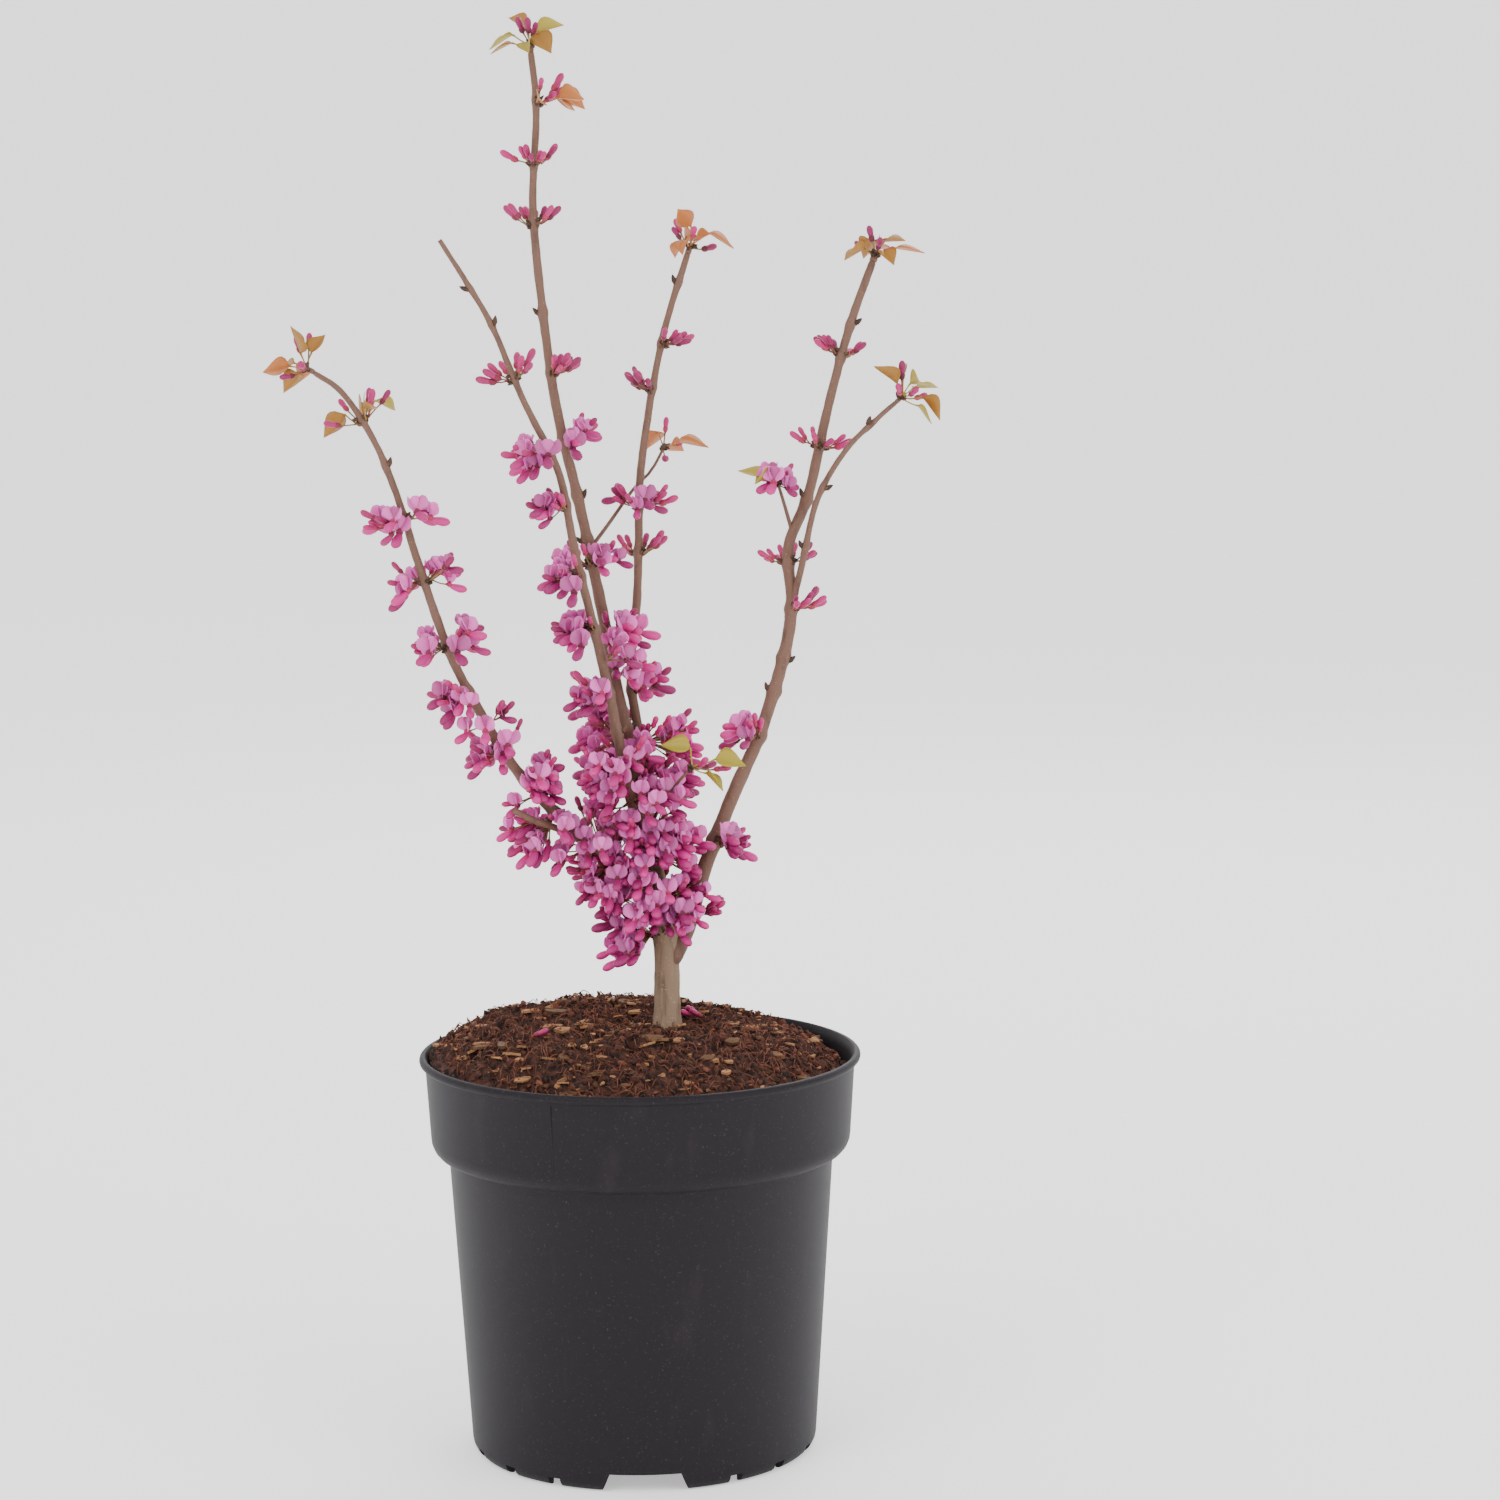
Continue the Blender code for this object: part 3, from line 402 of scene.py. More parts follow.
# Camera fitted to the photograph
CAMERA_PLACE_M = (0.0, -1.582, 0.5017)
CAMERA_PITCH = -0.1248
CAMERA_YAW = 0.0307
CAMERA_ROLL = -0.0086
CAMERA_LENS = 89.45
SENSOR_WIDTH = 36.0

# Studio floor, which curves up into a plain backdrop
FLOOR_REACH_M = 9.0
COVE_START_M = 2.6
COVE_RADIUS_M = 2.4
COVE_STEPS = 24
FLOOR_GLOW = 0.55
SKY_STRENGTH = 1.15
LIT_HEIGHT_M = 0.3

# Soft lights: place and width in metres, and the share of the key light's power
LIGHTS = (
    ("key_light", (-1.4, -1.8, 2.3), 1.4, 1.0),
    ("fill_light", (1.7, -1.4, 1.3), 1.6, 0.55),
    ("rim_light", (0.5, 1.8, 1.7), 1.2, 0.5),
)


def colour_property(name, description, colour):
    """A colour that a user can change in the sidebar."""
    return FloatVectorProperty(
        name=name, description=description, subtype="COLOR", size=3, min=0.0, max=1.0, default=colour)


class RedbudPotSettings(bpy.types.PropertyGroup):
    """Colours of the pot."""

    plastic: colour_property("Plastic", "Moulded plastic", (0.0105, 0.0082, 0.0112))
    scuffed: colour_property("Scuffs", "Dust and scuffs on the plastic", (0.022, 0.017, 0.021))
    roughness: FloatProperty(
        name="Roughness", description="How matt the plastic is", default=0.56, min=0, max=1,
        subtype="FACTOR")


class RedbudCompostSettings(bpy.types.PropertyGroup):
    """Colours and texture of the compost."""

    peat: colour_property("Peat", "Moist peat fibre", (0.070, 0.024, 0.014))
    # Hollows: painted shade, near-black patches that stand for the shade in the hollows between crumbs
    hollow: colour_property("Hollows", "Dark hollows between the crumbs", (0.012, 0.005, 0.004))
    chip: colour_property("Bark chips", "Fresh face of a bark chip", (0.36, 0.17, 0.07))
    lump: FloatProperty(
        name="Lump height", description="Height of the lumps, in metres", default=0.0026, min=0, max=0.005,
        unit="LENGTH")
    crumbs: IntProperty(name="Crumbs", description="How many loose crumbs", default=2600, min=0, max=6000)


class RedbudBarkSettings(bpy.types.PropertyGroup):
    """Colours and relief of the bark."""

    young: colour_property("Young bark", "Bark of the boughs", (0.150, 0.076, 0.050))
    old: colour_property("Old bark", "Bark of the trunk", (0.245, 0.165, 0.105))
    dark: colour_property("Dark streaks", "Streaks and nodes", (0.055, 0.024, 0.018))
    relief: FloatProperty(
        name="Relief", description="Depth of the bark's ridges, in metres", default=0.00022, min=0,
        max=0.001, unit="LENGTH")


class RedbudBlossomSettings(bpy.types.PropertyGroup):
    """Colours of the blossom."""

    keel: colour_property("Keel", "Lower petals", (0.47, 0.018, 0.185))
    petal: colour_property("Upright petals", "Paler upright petals", (0.66, 0.13, 0.42))
    bud: colour_property("Bud", "Closed buds", (0.36, 0.014, 0.120))
    calyx: colour_property("Calyx", "Cup at the foot of each flower", (0.17, 0.012, 0.035))
    scale: colour_property("Bud scales", "Scales at each node", (0.055, 0.026, 0.014))


class RedbudLeafSettings(bpy.types.PropertyGroup):
    """Colours of the young leaves."""

    bronze: colour_property("Bronze", "Youngest leaves", (0.29, 0.145, 0.014))
    orange: colour_property("Orange", "Leaves in low sun", (0.42, 0.145, 0.026))
    green: colour_property("Yellow-green", "Older leaves", (0.33, 0.28, 0.022))


class RedbudStudioSettings(bpy.types.PropertyGroup):
    """Floor and light of the studio."""

    floor: colour_property("Floor", "Plain studio floor", (0.93, 0.93, 0.93))
    light: FloatProperty(
        name="Key light", description="Power of the large soft light", default=38.0, min=0, subtype="POWER")


class RedbudSettings(bpy.types.PropertyGroup):
    """Everything that a user can change."""

    pot: PointerProperty(type=RedbudPotSettings)
    compost: PointerProperty(type=RedbudCompostSettings)
    bark: PointerProperty(type=RedbudBarkSettings)
    blossom: PointerProperty(type=RedbudBlossomSettings)
    leaf: PointerProperty(type=RedbudLeafSettings)
    studio: PointerProperty(type=RedbudStudioSettings)


def mottle_group():
    """Group that blends two colours by soft patches and gives the same patches as a height."""
    name = "soft_mottle"
    if name in bpy.data.node_groups:
        return bpy.data.node_groups[name]
    group = bpy.data.node_groups.new(name, "ShaderNodeTree")
    face = group.interface
    for label, kind, value in (
        ("Base", "NodeSocketColor", (0.5, 0.5, 0.5, 1)),
        ("Patches", "NodeSocketColor", (0.1, 0.1, 0.1, 1)),
        ("Scale", "NodeSocketFloat", 200.0),
        ("Low", "NodeSocketFloat", 0.45),
        ("High", "NodeSocketFloat", 0.7),
        ("Stretch", "NodeSocketVector", (1, 1, 1)),
    ):
        socket = face.new_socket(name=label, in_out="INPUT", socket_type=kind)
        socket.default_value = value
    face.new_socket(name="Color", in_out="OUTPUT", socket_type="NodeSocketColor")
    face.new_socket(name="Height", in_out="OUTPUT", socket_type="NodeSocketFloat")
    nodes = group.nodes
    given = nodes.new("NodeGroupInput")
    result = nodes.new("NodeGroupOutput")
    where = nodes.new("ShaderNodeTexCoord")
    stretch = nodes.new("ShaderNodeVectorMath")
    stretch.operation = "MULTIPLY"
    cloud = nodes.new("ShaderNodeTexNoise")
    cloud.inputs["Detail"].default_value = 5.0
    spread = nodes.new("ShaderNodeMapRange")
    blend = nodes.new("ShaderNodeMix")
    blend.data_type = "RGBA"
    for source, output, target, socket in (
        (where, "Object", stretch, 0),
        (given, "Stretch", stretch, 1),
        (stretch, 0, cloud, "Vector"),
        (given, "Scale", cloud, "Scale"),
        (cloud, "Fac", spread, "Value"),
        (given, "Low", spread, "From Min"),
        (given, "High", spread, "From Max"),
        (spread, "Result", blend, "Factor"),
        (given, "Base", blend, "A"),
        (given, "Patches", blend, "B"),
        (blend, "Result", result, "Color"),
        (spread, "Result", result, "Height"),
    ):
        group.links.new(source.outputs[output], target.inputs[socket])
    return group


def set_inputs(node, values):
    """Set a node's inputs by their names."""
    for name, value in values.items():
        node.inputs[name].default_value = value


def mottle_node(tree, values):
    """Place the mottle group in a material with its own values."""
    node = tree.nodes.new("ShaderNodeGroup")
    node.node_tree = mottle_group()
    set_inputs(node, values)
    return node


def finish(name, colour, roughness, patches=None, scale=200.0, low=0.45, high=0.7, stretch=(1, 1, 1),
           bump=0.0, bump_distance=0.0003, speckle=None, speckle_scale=900.0, flesh=0.0, gloss=0.4):
    """A surface of one base colour, with patches, finer speckle and relief where they are given."""
    base = (*colour, 1.0)
    material = bpy.data.materials.new(name)
    material.use_nodes = True
    material.diffuse_color = base
    tree = material.node_tree
    shader = tree.nodes["Principled BSDF"]
    set_inputs(shader, {"Base Color": base, "Roughness": roughness, "Specular IOR Level": gloss})
    if flesh:
        set_inputs(shader, {
            "Subsurface Weight": flesh, "Subsurface Radius": FLESH_RADIUS,
            "Subsurface Scale": FLESH_DEPTH_M})
    if patches is None:
        return material
    first = mottle_node(tree, {
        "Base": base, "Patches": (*patches, 1.0), "Scale": scale, "Low": low, "High": high,
        "Stretch": stretch})
    last = first
    if speckle is not None:
        last = mottle_node(tree, {
            "Patches": (*speckle, 1.0), "Scale": speckle_scale, "Low": SPECKLE_LOW, "High": SPECKLE_HIGH})
        tree.links.new(first.outputs["Color"], last.inputs["Base"])
    tree.links.new(last.outputs["Color"], shader.inputs["Base Color"])
    if bump:
        relief = tree.nodes.new("ShaderNodeBump")
        set_inputs(relief, {"Strength": bump, "Distance": bump_distance})
        tree.links.new(first.outputs["Height"], relief.inputs["Height"])
        tree.links.new(relief.outputs["Normal"], shader.inputs["Normal"])
    return material


def shaded(colour, amount):
    """The colour made lighter or darker by a factor."""
    return tuple(min(1.0, channel * amount) for channel in colour)


def tints(name, colour, amounts, roughness, flesh=0.0):
    """Plain shades of one base colour, of which each small shape takes one."""
    return [
        finish(f"{name}_{number}", shaded(colour, amount), roughness, flesh=flesh)
        for number, amount in enumerate(amounts)
    ]


def new_mesh(name, corners, faces):
    """A mesh whose corners are given in millimetres."""
    mesh = bpy.data.meshes.new(name)
    mesh.from_pydata([tuple(corner * MM) for corner in corners], [], faces)
    return mesh


def put_in_scene(name, data):
    """Make an object of a mesh, a light or a camera, and put it in the scene."""
    item = bpy.data.objects.new(name, data)
    bpy.context.scene.collection.objects.link(item)
    return item


def hand_over(item, nodes=()):
    """Let a piece ride on the plant's body and the solids that it stands for."""
    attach(item, "root")
    if nodes:
        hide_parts(*nodes)


class Sheaf:
    """Many small shapes gathered into one mesh, each with the number of its tint."""

    def __init__(self):
        self.corners = []
        self.faces = []
        self.tints = []

    def add(self, corners, faces, tint=0):
        """Add one shape."""
        start = len(self.corners)
        self.corners.extend(corners)
        self.faces.extend([tuple(start + index for index in face) for face in faces])
        self.tints.extend([tint] * len(faces))

    def piece(self, name, materials, slot, nodes=(), smooth=True):
        """Make the object and hand it over."""
        mesh = new_mesh(name, self.corners, self.faces)
        for material in materials:
            mesh.materials.append(material)
        mesh.polygons.foreach_set("material_index", [tint % len(materials) for tint in self.tints])
        mesh.polygons.foreach_set("use_smooth", [smooth] * len(mesh.polygons))
        mesh.update()
        hand_over(put_in_scene(name, mesh), nodes)


def smooth_route(waypoints, stations):
    """Evenly spaced points on a smooth curve through the waypoints."""
    points = [Vector(point) for point in waypoints]
    points.insert(0, points[0] * 2 - points[1])
    points.append(points[-1] * 2 - points[-2])
    fine = []
    for a, b, c, d in zip(points, points[1:], points[2:], points[3:]):
        for step in range(CURVE_STEPS):
            t = step / CURVE_STEPS
            line = b * 2 + (c - a) * t + (a * 2 - b * 5 + c * 4 - d) * t ** 2
            fine.append((line + (b * 3 - a - c * 3 + d) * t ** 3) / 2)
    fine.append(points[-2])
    lengths = [0.0]
    for first, second in zip(fine, fine[1:]):
        lengths.append(lengths[-1] + (second - first).length)
    route = []
    place = 0
    for station in range(stations):
        wanted = lengths[-1] * station / (stations - 1)
        while place < len(fine) - 2 and lengths[place + 1] < wanted:
            place += 1
        share = (wanted - lengths[place]) / (lengths[place + 1] - lengths[place])
        route.append(fine[place].lerp(fine[place + 1], share))
    return route


def limb_radius(limb, name, share, height):
    """Radius of a limb at a share of its length; the trunk also flares at its foot."""
    radius = (limb.foot + (limb.tip - limb.foot) * share) / 2
    if name == "trunk":
        above = (height - limb.route[0][2]) / TRUNK_FLARE_HEIGHT
        radius += TRUNK_FOOT_FLARE * max(0.0, 1 - above) ** 2
    return radius


def limb_stations(name, limb, stations=None):
    """Points along a limb, each with its radius."""
    route = smooth_route(limb.route, stations or limb.stations)
    last = len(route) - 1
    return [(point, limb_radius(limb, name, place / last, point.z)) for place, point in enumerate(route)]


class Obstacles:
    """The limbs and twigs as rows of balls, so that blossom can be kept off them."""

    def __init__(self):
        self.balls = []
        for group in (LIMBS, TWIGS):
            for name, limb in group.items():
                for point, radius in limb_stations(name, limb, limb.stations * 8):
                    self.balls.append((point, radius, name))
        self.tree = KDTree(len(self.balls))
        for index, ball in enumerate(self.balls):
            self.tree.insert(ball[0], index)
        self.tree.balance()
        self.widest = max(radius for _, radius, _ in self.balls)

    def touches(self, point, radius, own_twig):
        """Tell whether a ball comes nearer than the clearance to a limb."""
        near = self.tree.find_range(point, radius + self.widest + CLEARANCE)
        for _, index, distance in near:
            _, limb_width, name = self.balls[index]
            if name != own_twig and distance < radius + limb_width + CLEARANCE:
                return True
        return False


Spot = namedtuple("Spot", "name centre along side across radius arc stage twig")


def spot_on_limb(name, limb_name, limb, height, side, stage, number):
    """Where a cluster stands: the limb's point at that height, and three directions there."""
    stations = limb_stations(limb_name, limb, limb.stations * 4)
    place = min(range(len(stations)), key=lambda index: abs(stations[index][0].z - height))
    if side == "end":
        place = len(stations)
    place = max(1, min(place, len(stations) - 2))
    along = (stations[place + 1][0] - stations[place - 1][0]).normalized()
    centre, radius = stations[place]
    arc = ONE_SIDED_ARC
    facing = SIDES[side].copy()
    if side == "both":
        arc = BOTH_SIDED_ARC
        facing = -facing if number % 2 else facing
    if side == "end":
        arc = END_ARC
        centre = stations[-1][0] + along * GAP
    facing = (facing - along * facing.dot(along)).normalized()
    return Spot(name, centre, along, facing, along.cross(facing), radius, arc, stage, None)


def all_spots():
    """Every cluster and twig end of the plant, in order."""
    spots = []
    for limb_name, rows in CLUSTERS.items():
        for number, (height, side, stage) in enumerate(rows, 1):
            kind = "leaves" if STAGES[stage].leaves else "blossom"
            name = f"{limb_name}_{kind}_{number}"
            spots.append(spot_on_limb(name, limb_name, LIMBS[limb_name], height, side, stage, number))
    for name, twig in TWIGS.items():
        spot = spot_on_limb(name, name, twig, 0, "end", twig.stage, 0)
        sunk = spot.centre - spot.along * (GAP + END_STEM_LENGTH)
        spots.append(spot._replace(centre=sunk, twig=name))
    return spots


def spot_middle(spot):
    """Middle of the space that a cluster fills."""
    if spot.arc > ONE_SIDED_ARC:
        return spot.centre + spot.along * 2.0
    return spot.centre + spot.side * (spot.radius + STAGES[spot.stage].stalk)


Growth = namedtuple("Growth", "kind root end out up balls size")


def new_bud(root, end, heading, size):
    """A closed bud that bends a little upward off its stalk."""
    out = (heading + UPRIGHT * 0.25).normalized()
    balls = [(end + out * BUD_LENGTH * share * size, BUD_RADIUS * size) for share in (0.15, 0.45, 0.75)]
    return Growth("bud", root, end, out, UPRIGHT, balls, size)


def new_leaf(root, end, level, chance, size):
    """A young leaf that droops from its stalk, rolled about its own length."""
    out = (level + UPRIGHT * chance.uniform(*LEAF_DROOP)).normalized()
    roll = Matrix.Rotation(chance.uniform(-LEAF_ROLL, LEAF_ROLL), 3, out)
    face = roll @ (UPRIGHT - out * UPRIGHT.dot(out)).normalized()
    sizes = ((0.2, 3.4), (0.42, 4.8), (0.7, 3.4), (0.9, 1.6))
    balls = [(end + out * LEAF_LENGTH * share * size, radius * size) for share, radius in sizes]
    return Growth("leaf", root, end, out, face, balls, size)


def new_flower(root, end, level, size):
    """An open flower: the keel points out and down, the paler petals stand up behind it."""
    up = (UPRIGHT - level * UPRIGHT.dot(level)).normalized()
    across = level.cross(up)
    keel = keel_direction(level, up)
    balls = [
        (end + keel * KEEL_LENGTH * 0.25 * size, KEEL_RADIUS * size),
        (end + keel * KEEL_LENGTH * 0.62 * size, KEEL_RADIUS * size),
        (end + keel * KEEL_LENGTH * 0.9 * size, 1.0 * size),
        (end + (up * FAN_HEIGHT * 0.62 + across * FAN_WIDTH * 0.29) * size, 2.3 * size),
        (end + (up * FAN_HEIGHT * 0.62 - across * FAN_WIDTH * 0.29) * size, 2.3 * size),
        (end + up * FAN_HEIGHT * 0.85 * size, 1.6 * size),
    ]
    return Growth("flower", root, end, level, up, balls, size)


def keel_direction(out, up):
    """Way in which a flower's keel points."""
    return (out - up * KEEL_DROOP).normalized()


def ring_distance(spot, angle):
    """Distance from the limb's axis to the middle of the cushion, which is a polygon."""
    step = math.radians(spot.arc) / max(3, round(spot.arc / RING_STEP))
    from_middle = (angle + math.radians(spot.arc) / 2) % step - step / 2
    return (spot.radius + GAP * FLAT_SIDE_ALLOWANCE + RING_RADIUS) / math.cos(from_middle)


def try_growth(kind, spot, turn, chance, size=1.0):
    """One stalk with its bud, flower or leaf, in a direction drawn by chance."""
    stage = STAGES[spot.stage]
    angle = math.radians(turn * (spot.arc / 2 - RING_END_MARGIN))
    spoke = spot.side * math.cos(angle) + spot.across * math.sin(angle)
    if spot.arc == END_ARC:
        root = spot.centre + spot.along * chance.uniform(0.4, 0.9) * END_STEM_LENGTH
    else:
        root = spot.centre + spoke * ring_distance(spot, angle)
    rise = chance.uniform(*RISE[kind])
    heading = (spoke * math.cos(rise) + spot.along * math.sin(rise)).normalized()
    end = root + heading * stage.stalk * chance.uniform(*STALK_SPREAD[kind])
    level = (Vector((heading.x, heading.y, heading.z * 0.3)) + spoke * 0.4).normalized()
    if kind == "bud":
        return new_bud(root, end, heading, size)
    if kind == "leaf":
        return new_leaf(root, end, level, chance, size)
    return new_flower(root, end, level, size)


def has_room(growth, spot, others, growths, obstacles, room=1.0):
    """Tell whether a growth keeps to its cluster's own space, off every limb and off its neighbours."""
    middle = spot_middle(spot)
    reach = STAGES[spot.stage].reach
    taken = [ball for neighbour in growths for ball in neighbour.balls]
    stalk = [(growth.root.lerp(growth.end, share), STALK_RADIUS) for share in (0.35, 0.65, 0.9)]
    for point, radius in growth.balls + stalk:
        if (point - middle).length + radius > reach:
            return False
        for other in others:
            apart = (other - middle).length
            to_border = ((point - other).length_squared - (point - middle).length_squared) / (2 * apart)
            if to_border < radius + CLEARANCE / 2:
                return False
        for place, width in taken:
            if (point - place).length < (radius + width + CLEARANCE / 2) * room:
                return False
        if obstacles.touches(point, radius, spot.twig):
            return False
    return True


def inside_box(growth):
    """Tell whether a growth stays within the solids' own box."""
    for point, radius in growth.balls:
        for axis in range(3):
            if not LOWEST[axis] + radius < point[axis] < HIGHEST[axis] - radius:
                return False
    return True


def kinds_to_grow(flowers, buds, leaves):
    """The kind of each growth, flowers first."""
    return ["flower"] * flowers + ["bud"] * buds + ["leaf"] * leaves


def add_finer(kinds, sizes, spot, others, growths, chance, obstacles):
    """Add smaller growths to a cluster where they find room, and return the new ones."""
    added = []
    for kind in kinds:
        for _ in range(FINER_TRIES):
            size = FINER_LARGEST * chance.uniform(*sizes)
            growth = try_growth(kind, spot, chance.uniform(-1, 1), chance, size)
            if inside_box(growth) and has_room(growth, spot, others, growths, obstacles, FINER_ROOM):
                growths.append(growth)
                added.append(growth)
                break
    return added


def cluster_growths(spot, spots, obstacles):
    """All that grows in one cluster: the source's growths, then finer ones among them."""
    stage = STAGES[spot.stage]
    chance = random.Random(spot.name)
    middle = spot_middle(spot)
    others = [spot_middle(other) for other in spots if other is not spot]
    others = [other for other in others if (other - middle).length < 2 * stage.reach + NEIGHBOUR_MARGIN]
    growths = []
    for number, kind in enumerate(kinds_to_grow(stage.flowers, stage.buds, stage.leaves)):
        turn = ((number + 1) * GOLDEN_SHARE % 1.0) * 2 - 1
        for _ in range(PLACING_TRIES):
            growth = try_growth(kind, spot, turn, chance)
            if has_room(growth, spot, others, growths, obstacles):
                growths.append(growth)
                break
            turn = chance.uniform(-1, 1)
    finer = random.Random(spot.name + " finer")
    add_finer(kinds_to_grow(*FINER[spot.stage]), FINER_SIZES, spot, others, growths, finer, obstacles)
    return growths


@lru_cache(maxsize=1)
def plant_growths():
    """Every growth of the plant, with its cluster."""
    spots = all_spots()
    obstacles = Obstacles()
    rows = [(spot, growth) for spot in spots for growth in cluster_growths(spot, spots, obstacles)]
    for number, (limb_name, height, side, stage) in enumerate(FINER_SPOTS):
        name = f"{limb_name}_finer_{number}"
        spot = spot_on_limb(name, limb_name, LIMBS[limb_name], height, side, stage, 0)
        near = [growth for _, growth in rows if (growth.end - spot.centre).length < FINER_SPOT_NEIGHBOURS]
        added = add_finer(
            kinds_to_grow(*FINER_SPOT_GROWTH[stage]), FINER_SPOT_SIZES, spot, (), near,
            random.Random(name), obstacles)
        rows.extend((spot, growth) for growth in added)
    return rows


def ring_pairs(rows, steps, start=0):
    """Neighbouring corners round each of the rings of corners that follow one another."""
    for row in range(rows):
        first = start + row * steps
        for step in range(steps):
            yield first + step, first + (step + 1) % steps


def tube_faces(last, sides):
    """Faces of a closed tube whose rings of corners are numbered from 0 to last."""
    faces = [(a, b, b + sides, a + sides) for a, b in ring_pairs(last, sides)]
    faces.append(tuple(reversed(range(sides))))
    faces.append(tuple(range(last * sides, (last + 1) * sides)))
    return faces


def heading_at(stations, place):
    """Direction of a row of points and half widths at one of them."""
    ahead = stations[min(place + 1, len(stations) - 1)][0]
    behind = stations[max(place - 1, 0)][0]
    return (ahead - behind).normalized()


def strand(stations, normal, sides, flat=1.0):
    """Corners and faces of a closed strand: each station gives its point and half width."""
    corners = []
    for place, (point, radius) in enumerate(stations):
        along = heading_at(stations, place)
        across = normal.cross(along)
        if across.length < 1e-4:
            across = Vector((1, 0, 0)).cross(along)
        across.normalize()
        square = along.cross(across)
        for side in range(sides):
            turn = 2 * math.pi * side / sides
            corners.append(point + (across * math.cos(turn) + square * math.sin(turn) * flat) * radius)
    return corners, tube_faces(len(stations) - 1, sides)


def sheet(place, out, face, outline, length, width, cup, fold, thickness):
    """A thin petal or leaf: outline gives its half width at each share of its length."""
    side = out.cross(face).normalized()
    corners = []
    rows = len(outline)
    columns = SHEET_COLUMNS
    for level in (0.5, -0.5):
        for row, half in enumerate(outline):
            share = row / (rows - 1)
            bend = cup * math.sin(math.pi * share * 0.5) ** 2
            middle = place + out * length * share + face * bend * length
            for column in range(columns + 1):
                away = column / columns * 2 - 1
                lift = abs(away) * half * width * fold
                corners.append(
                    middle + side * away * half * width + face * (lift + level * thickness))
    faces = []
    layer = rows * (columns + 1)
    for row in range(rows - 1):
        for column in range(columns):
            a = row * (columns + 1) + column
            b = a + 1
            c = b + columns + 1
            d = a + columns + 1
            faces.append((a, d, c, b))
            faces.append((layer + a, layer + b, layer + c, layer + d))
    rim = list(range(columns + 1))
    rim += [row * (columns + 1) + columns for row in range(1, rows)]
    rim += [(rows - 1) * (columns + 1) + column for column in range(columns - 1, -1, -1)]
    rim += [row * (columns + 1) for row in range(rows - 2, 0, -1)]
    for first, second in zip(rim, rim[1:] + rim[:1]):
        faces.append((first, second, layer + second, layer + first))
    return corners, faces


def bent_stalk(root, end, chance):
    """Corners and faces of a thin stalk that sags a little between its root and its end."""
    sag = UPRIGHT * (end - root).length * chance.uniform(-0.12, 0.04)
    stations = [
        (root.lerp(end, share) + sag * math.sin(math.pi * share), width)
        for share, width in STALK_PROFILE
    ]
    return strand(stations, STALK_NORMAL, STALK_SIDES)


def bough_nodes():
    """Where each limb swells: its clusters and its dormant buds, as heights."""
    heights = {name: [row[0] for row in CLUSTERS.get(name, ()) if row[1] != "end"] for name in LIMBS}
    for name, height, _ in DORMANT:
        heights[name].append(height)
    return heights


def limb_shape(name, limb, swellings, relief, sides):
    """One limb with ridges along its bark, swollen nodes and a collar where it leaves its parent."""
    length = sum((Vector(b) - Vector(a)).length for a, b in zip(limb.route, limb.route[1:]))
    stations = limb_stations(name, limb, max(FEWEST_STATIONS, int(length / STATION_STEP)))
    last = len(stations) - 1
    corners = []
    for place, (point, radius) in enumerate(stations):
        along = heading_at(stations, place)
        across = BACKWARD.cross(along).normalized()
        square = along.cross(across)
        swell = 1.0
        for height in swellings:
            away = abs(point.z - height) / NODE_REACH
            if away < NODE_END:
                swell += NODE_SWELLING * math.exp(-away * away * NODE_STEEPNESS)
        if limb.parent:
            from_foot = length * place / last - LIMBS[limb.parent].foot / 2
            swell += COLLAR_SWELLING * math.exp(-max(0.0, from_foot) / COLLAR_REACH)
        if name not in CUT_LIMBS:
            swell *= TIP_ROUNDING.get(last - place, 1.0)
        for side in range(sides):
            turn = 2 * math.pi * side / sides
            spoke = across * math.cos(turn) + square * math.sin(turn)
            where = Vector((math.cos(turn) * 2.2, math.sin(turn) * 2.2, place * 0.10 + radius))
            ridges = noise.noise(where * 1.4) * relief + noise.noise(where * 4.5) * relief * FINE_RIDGES
            lump = noise.noise(point * 0.16 + spoke * 0.3) * LUMP_SHARE
            corners.append(point + spoke * (radius * (swell + lump) + ridges))
    return corners, tube_faces(last, sides)


def turned(name, profile, steps):
    """Turn a profile of radius and height about the upright axis."""
    corners = []
    for radius, height in profile:
        for step in range(steps):
            turn = 2 * math.pi * step / steps
            corners.append(Vector((radius * math.cos(turn), radius * math.sin(turn), height)))
    faces = [(a, a + steps, b + steps, b) for a, b in ring_pairs(len(profile) - 1, steps)]
    mesh = new_mesh(name, corners, faces)
    shape = bmesh.new()
    shape.from_mesh(mesh)
    bmesh.ops.remove_doubles(shape, verts=shape.verts, dist=1e-6)
    bmesh.ops.recalc_face_normals(shape, faces=shape.faces)
    shape.to_mesh(mesh)
    shape.free()
    return put_in_scene(name, mesh)


def apply_modifiers(item):
    """Keep what an object's modifiers give as its mesh."""
    depsgraph = bpy.context.evaluated_depsgraph_get()
    mesh = bpy.data.meshes.new_from_object(item.evaluated_get(depsgraph))
    item.modifiers.clear()
    item.data = mesh


def soil_height(x, y):
    """Height of the compost's mound at a place, without its lumps."""
    outward = min(1.0, math.hypot(x, y) / SOIL_RADIUS)
    slope = SOIL_RISE_BACK * y / SOIL_RADIUS - SOIL_FALL_RIGHT * x / SOIL_RADIUS
    return SOIL_EDGE_HEIGHT + SOIL_MOUND * (1 - outward ** 4) + slope


def lumpy_height(x, y, lump):
    """Height of the compost at a place, with its lumps and hollows."""
    where = Vector((x, y, 0.0))
    coarse = noise.fractal(where * 0.055, 1.0, 2.0, 3)
    fine = noise.fractal(where * 0.32, 0.8, 2.1, 4)
    hollow = max(0.0, noise.noise(where * 0.14 + Vector((7, 3, 1))) - 0.15)
    return soil_height(x, y) + (lump * (coarse * 0.9 + fine) - hollow * lump * 3.0)


